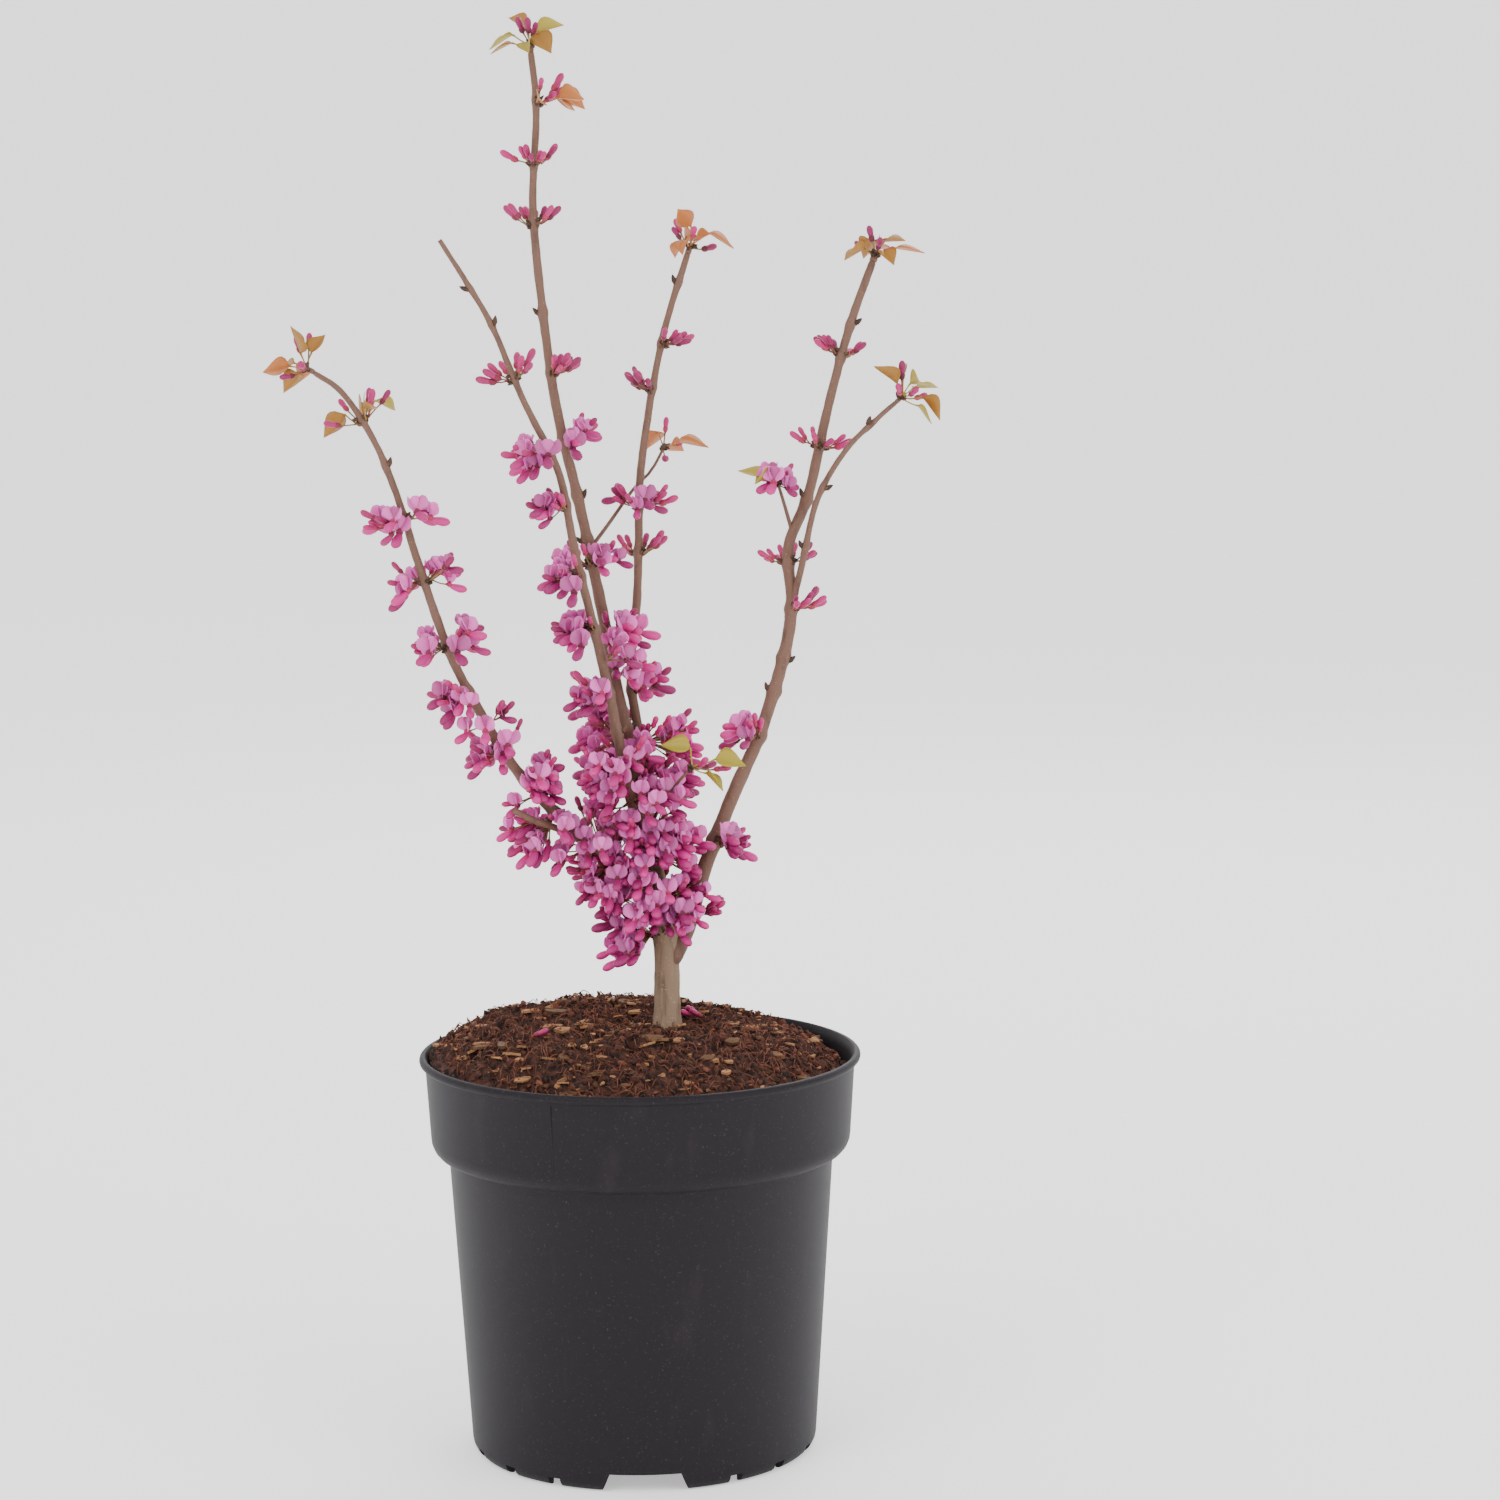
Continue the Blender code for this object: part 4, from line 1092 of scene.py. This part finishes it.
def notch_cutter(width_top, width_foot, height, angle):
    """A wedge through the pot's skirt, turned to its place round the foot."""
    shape = bmesh.new()
    bmesh.ops.create_cube(shape, size=1.0)
    inner = -(SKIRT_RADIUS - CUTTER_MARGIN)
    outer = -(BODY_FOOT_RADIUS + CUTTER_MARGIN)
    for corner in shape.verts:
        top = corner.co.z > 0
        corner.co.x *= width_top if top else width_foot
        corner.co.y = inner if corner.co.y > 0 else outer
        corner.co.z = height if top else CUTTER_FOOT
    turn = Matrix.Scale(MM, 4) @ Matrix.Rotation(math.radians(angle), 4, "Z")
    bmesh.ops.transform(shape, matrix=turn, verts=shape.verts)
    mesh = bpy.data.meshes.new("notch_cutter")
    shape.to_mesh(mesh)
    shape.free()
    return put_in_scene("notch_cutter", mesh)


class REDBUD_OT_pot(bpy.types.Operator):
    """Turn the pot with its rolled lip, collar band and foot, and cut its drain notches"""

    bl_idname = "redbud.pot"
    bl_label = "Pot"

    def execute(self, context):
        chosen = context.scene.redbud.pot
        collar_foot = POT_HEIGHT - COLLAR_HEIGHT
        lip_foot = POT_HEIGHT - LIP_HEIGHT
        pot = turned("nursery_pot", self.profile(collar_foot, lip_foot), POT_STEPS)
        self.cut_notches(pot)
        pot.data.materials.clear()
        plastic = finish(
            "pot_plastic", chosen.plastic, chosen.roughness, patches=chosen.scuffed, scale=70.0, low=0.60,
            high=0.95, stretch=(1, 1, 0.35), bump=0.25, bump_distance=0.0002,
            speckle=(0.035, 0.028, 0.030), speckle_scale=1100.0, gloss=0.16)
        pot.data.materials.append(plastic)
        pot.data.shade_smooth()
        pot.data.set_sharp_from_angle(angle=math.radians(CREASE_ANGLE))
        hand_over(pot, ("pot",))
        turn = math.radians(SEAM_ANGLE)
        away = Vector((math.cos(turn), math.sin(turn), 0))
        foot = away * (COLLAR_FOOT_RADIUS - SEAM_DEPTH) + UPRIGHT * (collar_foot + 8.0)
        top = away * (COLLAR_TOP_RADIUS - SEAM_DEPTH) + UPRIGHT * (lip_foot - 1.5)
        seam = Sheaf()
        seam.add(*strand([(foot, SEAM_HALF_WIDTH), (top, SEAM_HALF_WIDTH)], away, 6))
        seam.piece("mould_seam", [plastic], "pot_plastic")
        return {"FINISHED"}

    @staticmethod
    def profile(collar_foot, lip_foot):
        """The wall as radius and height: up inside, over the lip, down outside and under the foot."""
        floor = GROOVE_HEIGHT + WALL
        return (
            (0, WALL), (DISC_RADIUS - WALL, WALL), (DISC_RADIUS + 3.0, floor),
            (BODY_FOOT_RADIUS - WALL, floor), (BODY_TOP_RADIUS - WALL, collar_foot + 1.0),
            (COLLAR_FOOT_RADIUS - 2.2, collar_foot + 4.6), (COLLAR_TOP_RADIUS - 1.8, lip_foot),
            (RIM_RADIUS - 3.0, POT_HEIGHT - 0.7), (RIM_RADIUS - 2.4, POT_HEIGHT - 0.1),
            (RIM_RADIUS - 1.6, POT_HEIGHT), (RIM_RADIUS - 0.8, POT_HEIGHT - 0.3),
            (RIM_RADIUS - 0.2, POT_HEIGHT - 1.0), (RIM_RADIUS, POT_HEIGHT - 1.8),
            (RIM_RADIUS - 0.2, POT_HEIGHT - 2.7), (RIM_RADIUS - 0.8, POT_HEIGHT - 3.4),
            (COLLAR_TOP_RADIUS + 0.4, lip_foot - 0.1), (COLLAR_TOP_RADIUS - 0.1, lip_foot - 1.2),
            (COLLAR_FOOT_RADIUS + 0.1, collar_foot + 8.0), (COLLAR_FOOT_RADIUS - 0.2, collar_foot + 5.4),
            (COLLAR_FOOT_RADIUS - 1.2, collar_foot + 3.0), (COLLAR_FOOT_RADIUS - 2.6, collar_foot + 1.4),
            (COLLAR_FOOT_RADIUS - 4.2, collar_foot + 0.6), (BODY_TOP_RADIUS + 1.0, collar_foot + 0.2),
            (BODY_TOP_RADIUS, collar_foot - 1.2), (BODY_FOOT_RADIUS, 5.0),
            (BODY_FOOT_RADIUS - 0.3, 3.2), (BODY_FOOT_RADIUS - 1.1, 1.6), (BODY_FOOT_RADIUS - 2.3, 0.5),
            (BODY_FOOT_RADIUS - 3.8, 0), (SKIRT_RADIUS, 0), (SKIRT_RADIUS, GROOVE_HEIGHT),
            (DISC_RADIUS + 4.0, GROOVE_HEIGHT), (DISC_RADIUS, 0), (0, 0),
        )

    @staticmethod
    def cut_notches(pot):
        """Cut the notches, and the slits between them, through the skirt."""
        cutters = []
        for notch in NOTCH_ANGLES:
            cutters.append(notch_cutter(NOTCH_TOP_WIDTH, NOTCH_FOOT_WIDTH, NOTCH_HEIGHT, notch))
            for step in SLITS_FROM_NOTCH:
                cutters.append(notch_cutter(SLIT_WIDTH, SLIT_WIDTH, SLIT_HEIGHT, notch + step))
        for cutter in cutters:
            cut = pot.modifiers.new("cut", "BOOLEAN")
            cut.operation = "DIFFERENCE"
            cut.object = cutter
        apply_modifiers(pot)
        for cutter in cutters:
            bpy.data.objects.remove(cutter, do_unlink=True)


class REDBUD_OT_compost(bpy.types.Operator):
    """Lay the compost: a lumpy mound, loose crumbs, peat fibres and bark chips"""

    bl_idname = "redbud.compost"
    bl_label = "Compost"

    def execute(self, context):
        chosen = context.scene.redbud.compost
        lump = chosen.lump / MM
        mound = Sheaf()
        mound.add(*self.mound(lump))
        # The peat's near-black patches are painted shade of the hollows between crumbs, laid out by noise;
        # the same patches also give its bump
        earth = finish(
            "peat", chosen.peat, 0.97, patches=chosen.hollow, scale=260.0, low=0.42, high=0.62,
            bump=0.9, bump_distance=0.0012, speckle=shaded(chosen.peat, 2.4), speckle_scale=700.0)
        mound.piece("compost_mound", [earth], "peaty_compost", ("soil",))
        chance = random.Random("compost")
        crumb_tints = tints("crumb", chosen.peat, CRUMB_TINTS, 0.97)
        crumbs = Sheaf()
        for _ in range(chosen.crumbs):
            self.crumb(crumbs, chance, lump)
        crumbs.piece("compost_crumbs", crumb_tints, "peaty_compost", smooth=False)
        fibres = Sheaf()
        for _ in range(int(chosen.crumbs * FIBRES_PER_CRUMB)):
            self.fibre(fibres, chance, lump)
        fibres.piece("peat_fibres", crumb_tints, "peaty_compost")
        chip_tints = [
            finish(f"bark_chip_{number}", shaded(chosen.chip, amount), 0.85,
                   patches=shaded(chosen.chip, amount * 0.35), scale=420.0, stretch=(1, 4, 1), bump=0.4)
            for number, amount in enumerate(CHIP_TINTS)
        ]
        chips = Sheaf()
        for x, y, size in self.chip_places(chance):
            self.chip(chips, chance, lump, x, y, size)
        chips.piece("bark_chips", chip_tints, "peaty_compost", smooth=False)
        return {"FINISHED"}

    @staticmethod
    def mound(lump):
        """Rings of corners from the middle outward, then a side that tapers down to a flat underside."""
        rings = MOUND_RINGS
        steps = MOUND_STEPS
        corners = [Vector((0, 0, lumpy_height(0, 0, lump)))]
        for ring in range(1, rings + 1):
            radius = (SOIL_RADIUS + MOUND_OVERLAP) * ring / rings
            for step in range(steps):
                turn = 2 * math.pi * step / steps
                x = radius * math.cos(turn)
                y = radius * math.sin(turn)
                corners.append(Vector((x, y, lumpy_height(x, y, lump))))
        corners += [
            Vector((top.x * MOUND_SIDE_TAPER, top.y * MOUND_SIDE_TAPER, MOUND_FOOT_HEIGHT))
            for top in corners[-steps:]
        ]
        faces = [(0, a, b) for a, b in ring_pairs(1, steps, 1)]
        faces += [(a, a + steps, b + steps, b) for a, b in ring_pairs(rings, steps, 1)]
        faces.append(tuple(reversed(range(len(corners) - steps, len(corners)))))
        return corners, faces

    @staticmethod
    def anywhere(chance):
        """A place drawn evenly over the mound."""
        radius = (SOIL_RADIUS - LOOSE_MARGIN) * math.sqrt(chance.random())
        turn = chance.uniform(0, 2 * math.pi)
        return radius * math.cos(turn), radius * math.sin(turn)

    def crumb(self, sheaf, chance, lump):
        """One rough crumb, half sunk."""
        x, y = self.anywhere(chance)
        size = SMALLEST_CRUMB + CRUMB_SPREAD * chance.random() ** 2.5
        middle = Vector((x, y, lumpy_height(x, y, lump) + size * 0.2))
        shape = bmesh.new()
        bmesh.ops.create_icosphere(shape, subdivisions=1, radius=size)
        turn = Matrix.Rotation(chance.uniform(0, ANY_TURN), 3, Vector((chance.random(), chance.random(), 1)))
        stretch = Vector((chance.uniform(0.7, 1.7), chance.uniform(0.6, 1.1), chance.uniform(0.4, 0.9)))
        corners = [
            middle + turn @ (corner.co * chance.uniform(0.75, 1.2) * stretch) for corner in shape.verts]
        faces = [tuple(corner.index for corner in face.verts) for face in shape.faces]
        shape.free()
        sheaf.add(corners, faces, chance.choice((0, 1, 1, 2, 2, 3, 4)))

    def fibre(self, sheaf, chance, lump):
        """One bent peat fibre that lies on the mound."""
        x, y = self.anywhere(chance)
        length = chance.uniform(*FIBRE_LENGTHS)
        turn = chance.uniform(0, 2 * math.pi)
        bend = chance.uniform(-FIBRE_BEND, FIBRE_BEND)
        stations = []
        for step in range(FIBRE_STATIONS):
            share = step / (FIBRE_STATIONS - 1)
            if math.hypot(x, y) > SOIL_RADIUS - 2.0:
                x *= 0.97
                y *= 0.97
            z = lumpy_height(x, y, lump) + FIBRE_CLEARANCE + FIBRE_ARCH * math.sin(math.pi * share)
            width = FIBRE_HALF_WIDTH * (1 - 0.7 * abs(share * 2 - 1))
            stations.append((Vector((x, y, z)), width))
            x += math.cos(turn) * length / FIBRE_STATIONS
            y += math.sin(turn) * length / FIBRE_STATIONS
            turn += bend / FIBRE_STATIONS * 2
        sheaf.add(*strand(stations, UPRIGHT, 4), chance.choice((1, 2, 3, 4, 4)))

    def chip_places(self, chance):
        """Place and size of the larger chips towards the front, then of small ones all over."""
        places = list(LARGE_CHIPS)
        for _ in range(SMALL_CHIPS):
            x, y = self.anywhere(chance)
            places.append((x, y, SMALLEST_CHIP + CHIP_SPREAD * chance.random() ** 2))
        return places

    @staticmethod
    def chip(sheaf, chance, lump, x, y, size):
        """One angular flake of bark."""
        middle = Vector((x, y, lumpy_height(x, y, lump) + size * 0.12))
        turn = Matrix.Rotation(chance.uniform(0, ANY_TURN), 3, "Z")
        turn = turn @ Matrix.Rotation(chance.uniform(-0.5, 0.5), 3, "X")
        long = size * chance.uniform(0.8, 1.3)
        wide = size * chance.uniform(0.35, 0.6)
        thick = size * chance.uniform(0.12, 0.22)
        outline = [(a * chance.uniform(0.75, 1.15), b * chance.uniform(0.7, 1.2)) for a, b in CHIP_OUTLINE]
        corners = []
        for level in (1, -1):
            for a, b in outline:
                lift = thick * level * chance.uniform(0.6, 1.0)
                corners.append(middle + turn @ Vector((a * long, b * wide, lift)))
        count = len(outline)
        faces = [tuple(reversed(range(count))), tuple(range(count, 2 * count))]
        faces += [(a, b, count + b, count + a) for a, b in ring_pairs(1, count)]
        sheaf.add(corners, faces, chance.choice((0, 1, 2, 2, 3)))


class REDBUD_OT_bark(bpy.types.Operator):
    """Sweep trunk, boughs and twigs with the relief of their bark and their swollen nodes"""

    bl_idname = "redbud.bark"
    bl_label = "Trunk and boughs"

    def execute(self, context):
        chosen = context.scene.redbud.bark
        relief = chosen.relief / MM
        trunk_bark = finish(
            "trunk_bark", chosen.old, 0.82, patches=chosen.dark, scale=330.0, low=0.50, high=0.85,
            stretch=(1, 1, 0.16), bump=0.7, bump_distance=0.0004, speckle=shaded(chosen.old, 1.6))
        bough_bark = finish(
            "bough_bark", chosen.young, 0.66, patches=chosen.dark, scale=260.0, low=0.54, high=0.85,
            stretch=(1, 1, 0.3), bump=0.4, speckle=shaded(chosen.young, 1.9), speckle_scale=1300.0)
        swellings = bough_nodes()
        trunk = Sheaf()
        boughs = Sheaf()
        for name, limb in LIMBS.items():
            if limb.parent:
                boughs.add(*limb_shape(name, limb, swellings[name], relief, BOUGH_SIDES))
            else:
                trunk.add(*limb_shape(name, limb, swellings[name], relief * TRUNK_RELIEF, TRUNK_SIDES))
        trunk.piece("trunk_with_bark", [trunk_bark], "trunk_bark", ("trunk",))
        boughs.piece(
            "boughs_with_bark", [bough_bark], "bough_bark", [name for name in LIMBS if name != "trunk"])
        twigs = Sheaf()
        for name, twig in TWIGS.items():
            twigs.add(*strand(limb_stations(name, twig, TWIG_STATIONS), BACKWARD, TWIG_SIDES))
        for spot in all_spots():
            if spot.arc == END_ARC and not spot.twig:
                end = [(spot.centre + spot.along * away, spot.radius * width) for away, width in TWIG_END]
                twigs.add(*strand(end, BACKWARD, TWIG_SIDES))
        twigs.piece("fine_twigs", [bough_bark], "young_leaf")
        scales = Sheaf()
        chance = random.Random("bud scales")
        for spot in all_spots():
            self.cushion(scales, spot, chance)
        for name, height, side in DORMANT:
            facing = "right" if side > 0 else "left"
            self.dormant(scales, spot_on_limb(name, name, LIMBS[name], height, facing, "budded", 0), chance)
        shades = tints("bud_scale", context.scene.redbud.blossom.scale, SCALE_TINTS, 0.7)
        scales.piece("bud_scales", shades, "bough_bark")
        return {"FINISHED"}

    @staticmethod
    def scale(sheaf, root, heading, length, width, chance):
        """One plump bud scale."""
        stations = [
            (root - heading * 0.4, width * 0.5), (root + heading * length * 0.3, width),
            (root + heading * length * 0.7, width * 0.7), (root + heading * length, width * 0.15),
        ]
        sheaf.add(*strand(stations, Vector((0.3, 0.9, 0.2)), 6), chance.choice((0, 0, 1, 1, 2)))

    def cushion(self, sheaf, spot, chance):
        """The scales that sit round a node, at the foot of its stalks."""
        for _ in range(SCALES_AT_NODE.get(spot.stage, SCALES_ELSEWHERE)):
            if spot.arc == END_ARC:
                turn = chance.uniform(0, 2 * math.pi)
                root = spot.centre + spot.along * chance.uniform(0.6, 3.2)
                distance = spot.radius * 0.6
            else:
                turn = math.radians(chance.uniform(-0.5, 0.5) * spot.arc)
                root = spot.centre + spot.along * chance.uniform(-1.6, 1.8)
                distance = spot.radius
            spoke = spot.side * math.cos(turn) + spot.across * math.sin(turn)
            heading = (spoke + spot.along * chance.uniform(-0.1, 0.9)).normalized()
            length = chance.uniform(*SCALE_LENGTHS)
            width = chance.uniform(*SCALE_WIDTHS)
            self.scale(sheaf, root + spoke * distance, heading, length, width, chance)

    def dormant(self, sheaf, spot, chance):
        """A closed dark bud against the bark."""
        root = spot.centre + spot.side * spot.radius
        heading = (spot.side * 0.7 + spot.along).normalized()
        self.scale(sheaf, root, heading, 4.0, 1.2, chance)
        for _ in range(4):
            away = spot.across * chance.uniform(-1, 1) + spot.along * chance.uniform(-0.6, 0.6)
            self.scale(sheaf, root + away * 0.8, (heading + away * 0.4).normalized(), 1.8, 0.7, chance)


class REDBUD_OT_blossom(bpy.types.Operator):
    """Grow stalks, cups, closed buds, keels and upright petals in every cluster"""

    bl_idname = "redbud.blossom"
    bl_label = "Blossom"

    def execute(self, context):
        chosen = context.scene.redbud.blossom
        stalks = Sheaf()
        cups = Sheaf()
        buds = Sheaf()
        keels = Sheaf()
        petals = Sheaf()
        for number, (spot, growth) in enumerate(plant_growths()):
            if growth.kind == "leaf":
                continue
            chance = random.Random(f"{spot.name} {number}")
            stalks.add(*bent_stalk(growth.root, growth.end, chance), chance.randrange(len(STALK_COLOURS)))
            tint = chance.randrange(len(BUD_TINTS))
            if growth.kind == "bud":
                self.bud(cups, buds, growth, chance, tint)
            else:
                self.flower(cups, keels, petals, growth, chance, tint)
        for x, y in FALLEN_BUDS:
            chance = random.Random(f"fallen {x}")
            place = Vector((x, y, soil_height(x, y) + FALLEN_BUD_LIFT))
            heading = Vector((chance.uniform(-1, 1), chance.uniform(-1, 1), 0.1)).normalized()
            self.bud(cups, buds, new_bud(place, place, heading, FALLEN_BUD_SIZE), chance, 1)
        stalk_tints = [finish(name, colour, 0.6) for name, colour in STALK_COLOURS.items()]
        stalks.piece("flower_stalks", stalk_tints, "magenta_blossom")
        blossom_nodes = [name for name in frame["nodes"] if "_blossom_" in name]
        for sheaf, name, kind, colour, amounts, roughness, nodes in (
            (cups, "flower_cups", "cup", chosen.calyx, CUP_TINTS, 0.55, ()),
            (buds, "flower_buds", "bud", chosen.bud, BUD_TINTS, 0.5, blossom_nodes),
            (keels, "flower_keels", "keel", chosen.keel, KEEL_TINTS, 0.5, ()),
            (petals, "upright_petals", "petal", chosen.petal, PETAL_TINTS, 0.55, ()),
        ):
            shades = tints(kind, colour, amounts, roughness, PETAL_FLESH)
            sheaf.piece(name, shades, "magenta_blossom", nodes)
        return {"FINISHED"}

    @staticmethod
    def bud(cups, buds, growth, chance, tint):
        """A closed bud: a slightly curved club that stands out of its dark cup."""
        size = growth.size * chance.uniform(0.8, 1.0)
        length = BUD_LENGTH * size
        radius = BUD_RADIUS * BUD_SLIMNESS * size
        end = growth.end
        out = growth.out
        curve = growth.up.cross(out).cross(out) * -chance.uniform(0.0, 0.10) * length
        club = [
            (end + out * length * share + curve * share * share, radius * width)
            for share, width in BUD_PROFILE
        ]
        buds.add(*strand(club, CLUB_NORMAL, CLUB_SIDES), tint)
        cup = [(end - out * 0.4 * size, radius * 0.30)]
        cup += [(end + out * length * share, radius * width) for share, width in BUD_CUP_PROFILE]
        cups.add(*strand(cup, CLUB_NORMAL, CLUB_SIDES), tint)

    @staticmethod
    def flower(cups, keels, petals, growth, chance, tint):
        """An open flower: cup, two-lipped keel, two wings and the small upright banner."""
        size = growth.size * chance.uniform(0.86, 1.0)
        end = growth.end
        out = growth.out
        up = growth.up
        across = out.cross(up)
        keel = keel_direction(out, up)
        lift = keel.cross(across)
        if lift.dot(up) < 0:
            lift = -lift
        cup = [(end + out * away * size, width * size) for away, width in FLOWER_CUP_PROFILE]
        cups.add(*strand(cup, up, CLUB_SIDES), tint)
        length = KEEL_LENGTH * KEEL_SHARE * size
        lips = [
            (end + keel * length * share + lift * length * KEEL_CURVE * share * share,
             KEEL_RADIUS * width * size)
            for share, width in KEEL_PROFILE
        ]
        keels.add(*strand(lips, lift, CLUB_SIDES, 0.9), tint)
        for sign in (-1, 1):
            spread = chance.uniform(0.30, 0.55)
            stand = (up + across * sign * spread + out * chance.uniform(0.05, 0.4)).normalized()
            face = (across * sign * 0.8 + out * -0.5).normalized()
            face = (face - stand * face.dot(stand)).normalized()
            petals.add(*sheet(
                end + out * 1.4 * size, stand, face, PETAL_OUTLINE, WING_LENGTH * size,
                WING_WIDTH * size, chance.uniform(-0.10, 0.22), 0.35, SHEET_THICKNESS * size), tint)
        stand = (up + out * chance.uniform(-0.15, 0.25)).normalized()
        face = (out - stand * out.dot(stand)).normalized()
        petals.add(*sheet(
            end + out * 0.9 * size, stand, face, PETAL_OUTLINE, BANNER_LENGTH * size,
            BANNER_WIDTH * size, chance.uniform(-0.25, 0.05), -0.3, SHEET_THICKNESS * size), tint + 1)


class REDBUD_OT_leaves(bpy.types.Operator):
    """Hang the young heart-shaped leaves on their stalks, folded along the middle"""

    bl_idname = "redbud.leaves"
    bl_label = "Leaves"

    def execute(self, context):
        chosen = context.scene.redbud.leaf
        colours = [
            finish(f"leaf_{name}", getattr(chosen, name), 0.42, flesh=LEAF_FLESH) for name in LEAF_COLOURS]
        leaves = Sheaf()
        for number, (spot, growth) in enumerate(plant_growths()):
            if growth.kind != "leaf":
                continue
            chance = random.Random(f"{spot.name} leaf {number}")
            size = growth.size * chance.uniform(0.9, 1.0)
            tint = chance.choice(LEAF_TINTS.get(spot.name, (0, 1, 2)))
            leaves.add(*bent_stalk(growth.root, growth.end, chance), tint)
            leaves.add(*sheet(
                growth.end, growth.out, growth.up, LEAF_OUTLINE, BLADE_LENGTH * size,
                BLADE_WIDTH * size, chance.uniform(-0.12, 0.02), chance.uniform(0.3, 0.9),
                SHEET_THICKNESS * size), tint)
        nodes = [name for name in frame["nodes"] if "_leaves_" in name or name in TWIGS]
        leaves.piece("young_leaves", colours, "young_leaf", nodes)
        return {"FINISHED"}


class REDBUD_OT_studio(bpy.types.Operator):
    """Set the plain floor, the soft lights and the camera of the photograph"""

    bl_idname = "redbud.studio"
    bl_label = "Studio"

    def execute(self, context):
        chosen = context.scene.redbud.studio
        self.lay_floor(chosen.floor)
        world = bpy.data.worlds.new("studio_sky")
        world.use_nodes = True
        set_inputs(world.node_tree.nodes["Background"], {"Color": WHITE, "Strength": SKY_STRENGTH})
        context.scene.world = world
        for name, place, width, share in LIGHTS:
            lamp = bpy.data.lights.new(name, "AREA")
            lamp.size = width
            lamp.energy = chosen.light * share
            item = put_in_scene(name, lamp)
            item.location = place
            aim = Vector((0, 0, LIT_HEIGHT_M)) - Vector(place)
            item.rotation_euler = aim.to_track_quat("-Z", "Y").to_euler()
        self.place_camera(context.scene)
        return {"FINISHED"}

    @staticmethod
    def lay_floor(colour):
        """A pale, faintly lit floor that curves up into the backdrop."""
        section = [(-FLOOR_REACH_M, 0.0)]
        for step in range(COVE_STEPS + 1):
            turn = math.pi / 2 * step / COVE_STEPS
            section.append((
                COVE_START_M + COVE_RADIUS_M * math.sin(turn), COVE_RADIUS_M * (1 - math.cos(turn))))
        section.append((COVE_START_M + COVE_RADIUS_M, FLOOR_REACH_M))
        corners = [(side * FLOOR_REACH_M, y, z) for y, z in section for side in (-1, 1)]
        faces = [(2 * row, 2 * row + 1, 2 * row + 3, 2 * row + 2) for row in range(len(section) - 1)]
        mesh = bpy.data.meshes.new("studio_floor")
        mesh.from_pydata(corners, [], faces)
        mesh.shade_smooth()
        paper = finish("floor_paper", colour, 0.95)
        set_inputs(
            paper.node_tree.nodes["Principled BSDF"],
            {"Emission Color": WHITE, "Emission Strength": FLOOR_GLOW})
        mesh.materials.append(paper)
        floor = put_in_scene("studio_floor", mesh)

    @staticmethod
    def place_camera(scene):
        """The camera that was fitted to the photograph."""
        forward = Vector((
            math.sin(CAMERA_YAW) * math.cos(CAMERA_PITCH), math.cos(CAMERA_YAW) * math.cos(CAMERA_PITCH),
            math.sin(CAMERA_PITCH)))
        right = Vector((math.cos(CAMERA_YAW), -math.sin(CAMERA_YAW), 0))
        up = right.cross(forward)
        tilted_right = right * math.cos(CAMERA_ROLL) + up * math.sin(CAMERA_ROLL)
        tilted_up = up * math.cos(CAMERA_ROLL) - right * math.sin(CAMERA_ROLL)
        lens = bpy.data.cameras.new("photo_camera")
        lens.lens = CAMERA_LENS
        lens.sensor_width = SENSOR_WIDTH
        camera = put_in_scene("photo_camera", lens)
        turn = Matrix((tilted_right, tilted_up, -forward)).transposed().to_4x4()
        camera.matrix_world = Matrix.Translation(CAMERA_PLACE_M) @ turn
        scene.camera = camera


class REDBUD_PT_panel(bpy.types.Panel):
    """Buttons and values of the potted redbud"""

    bl_idname = "REDBUD_PT_panel"
    bl_label = "Potted redbud"
    bl_space_type = "VIEW_3D"
    bl_region_type = "UI"
    bl_category = "Redbud"

    def draw(self, context):
        layout = self.layout
        chosen = context.scene.redbud
        for operator, group in (
            ("redbud.studio", "studio"), ("redbud.pot", "pot"), ("redbud.compost", "compost"),
            ("redbud.bark", "bark"), ("redbud.blossom", "blossom"), ("redbud.leaves", "leaf"),
        ):
            box = layout.box()
            box.operator(operator)
            values = getattr(chosen, group)
            for name in values.bl_rna.properties.keys():
                if name not in ("rna_type", "name"):
                    box.prop(values, name)


CLASSES = (
    RedbudPotSettings, RedbudCompostSettings, RedbudBarkSettings, RedbudBlossomSettings,
    RedbudLeafSettings, RedbudStudioSettings, RedbudSettings, REDBUD_OT_pot, REDBUD_OT_compost,
    REDBUD_OT_bark, REDBUD_OT_blossom, REDBUD_OT_leaves, REDBUD_OT_studio, REDBUD_PT_panel,
)


def register():
    """Register the classes and the scene's settings."""
    for item in CLASSES:
        bpy.utils.register_class(item)
    bpy.types.Scene.redbud = PointerProperty(type=RedbudSettings)


def unregister():
    """Take the settings and the classes out again."""
    del bpy.types.Scene.redbud
    for item in reversed(CLASSES):
        bpy.utils.unregister_class(item)


def main():
    """Register the classes and dress the whole plant."""
    register()
    bpy.ops.redbud.studio()
    bpy.ops.redbud.pot()
    bpy.ops.redbud.compost()
    bpy.ops.redbud.bark()
    bpy.ops.redbud.blossom()
    bpy.ops.redbud.leaves()


if __name__ == "__main__":
    main()
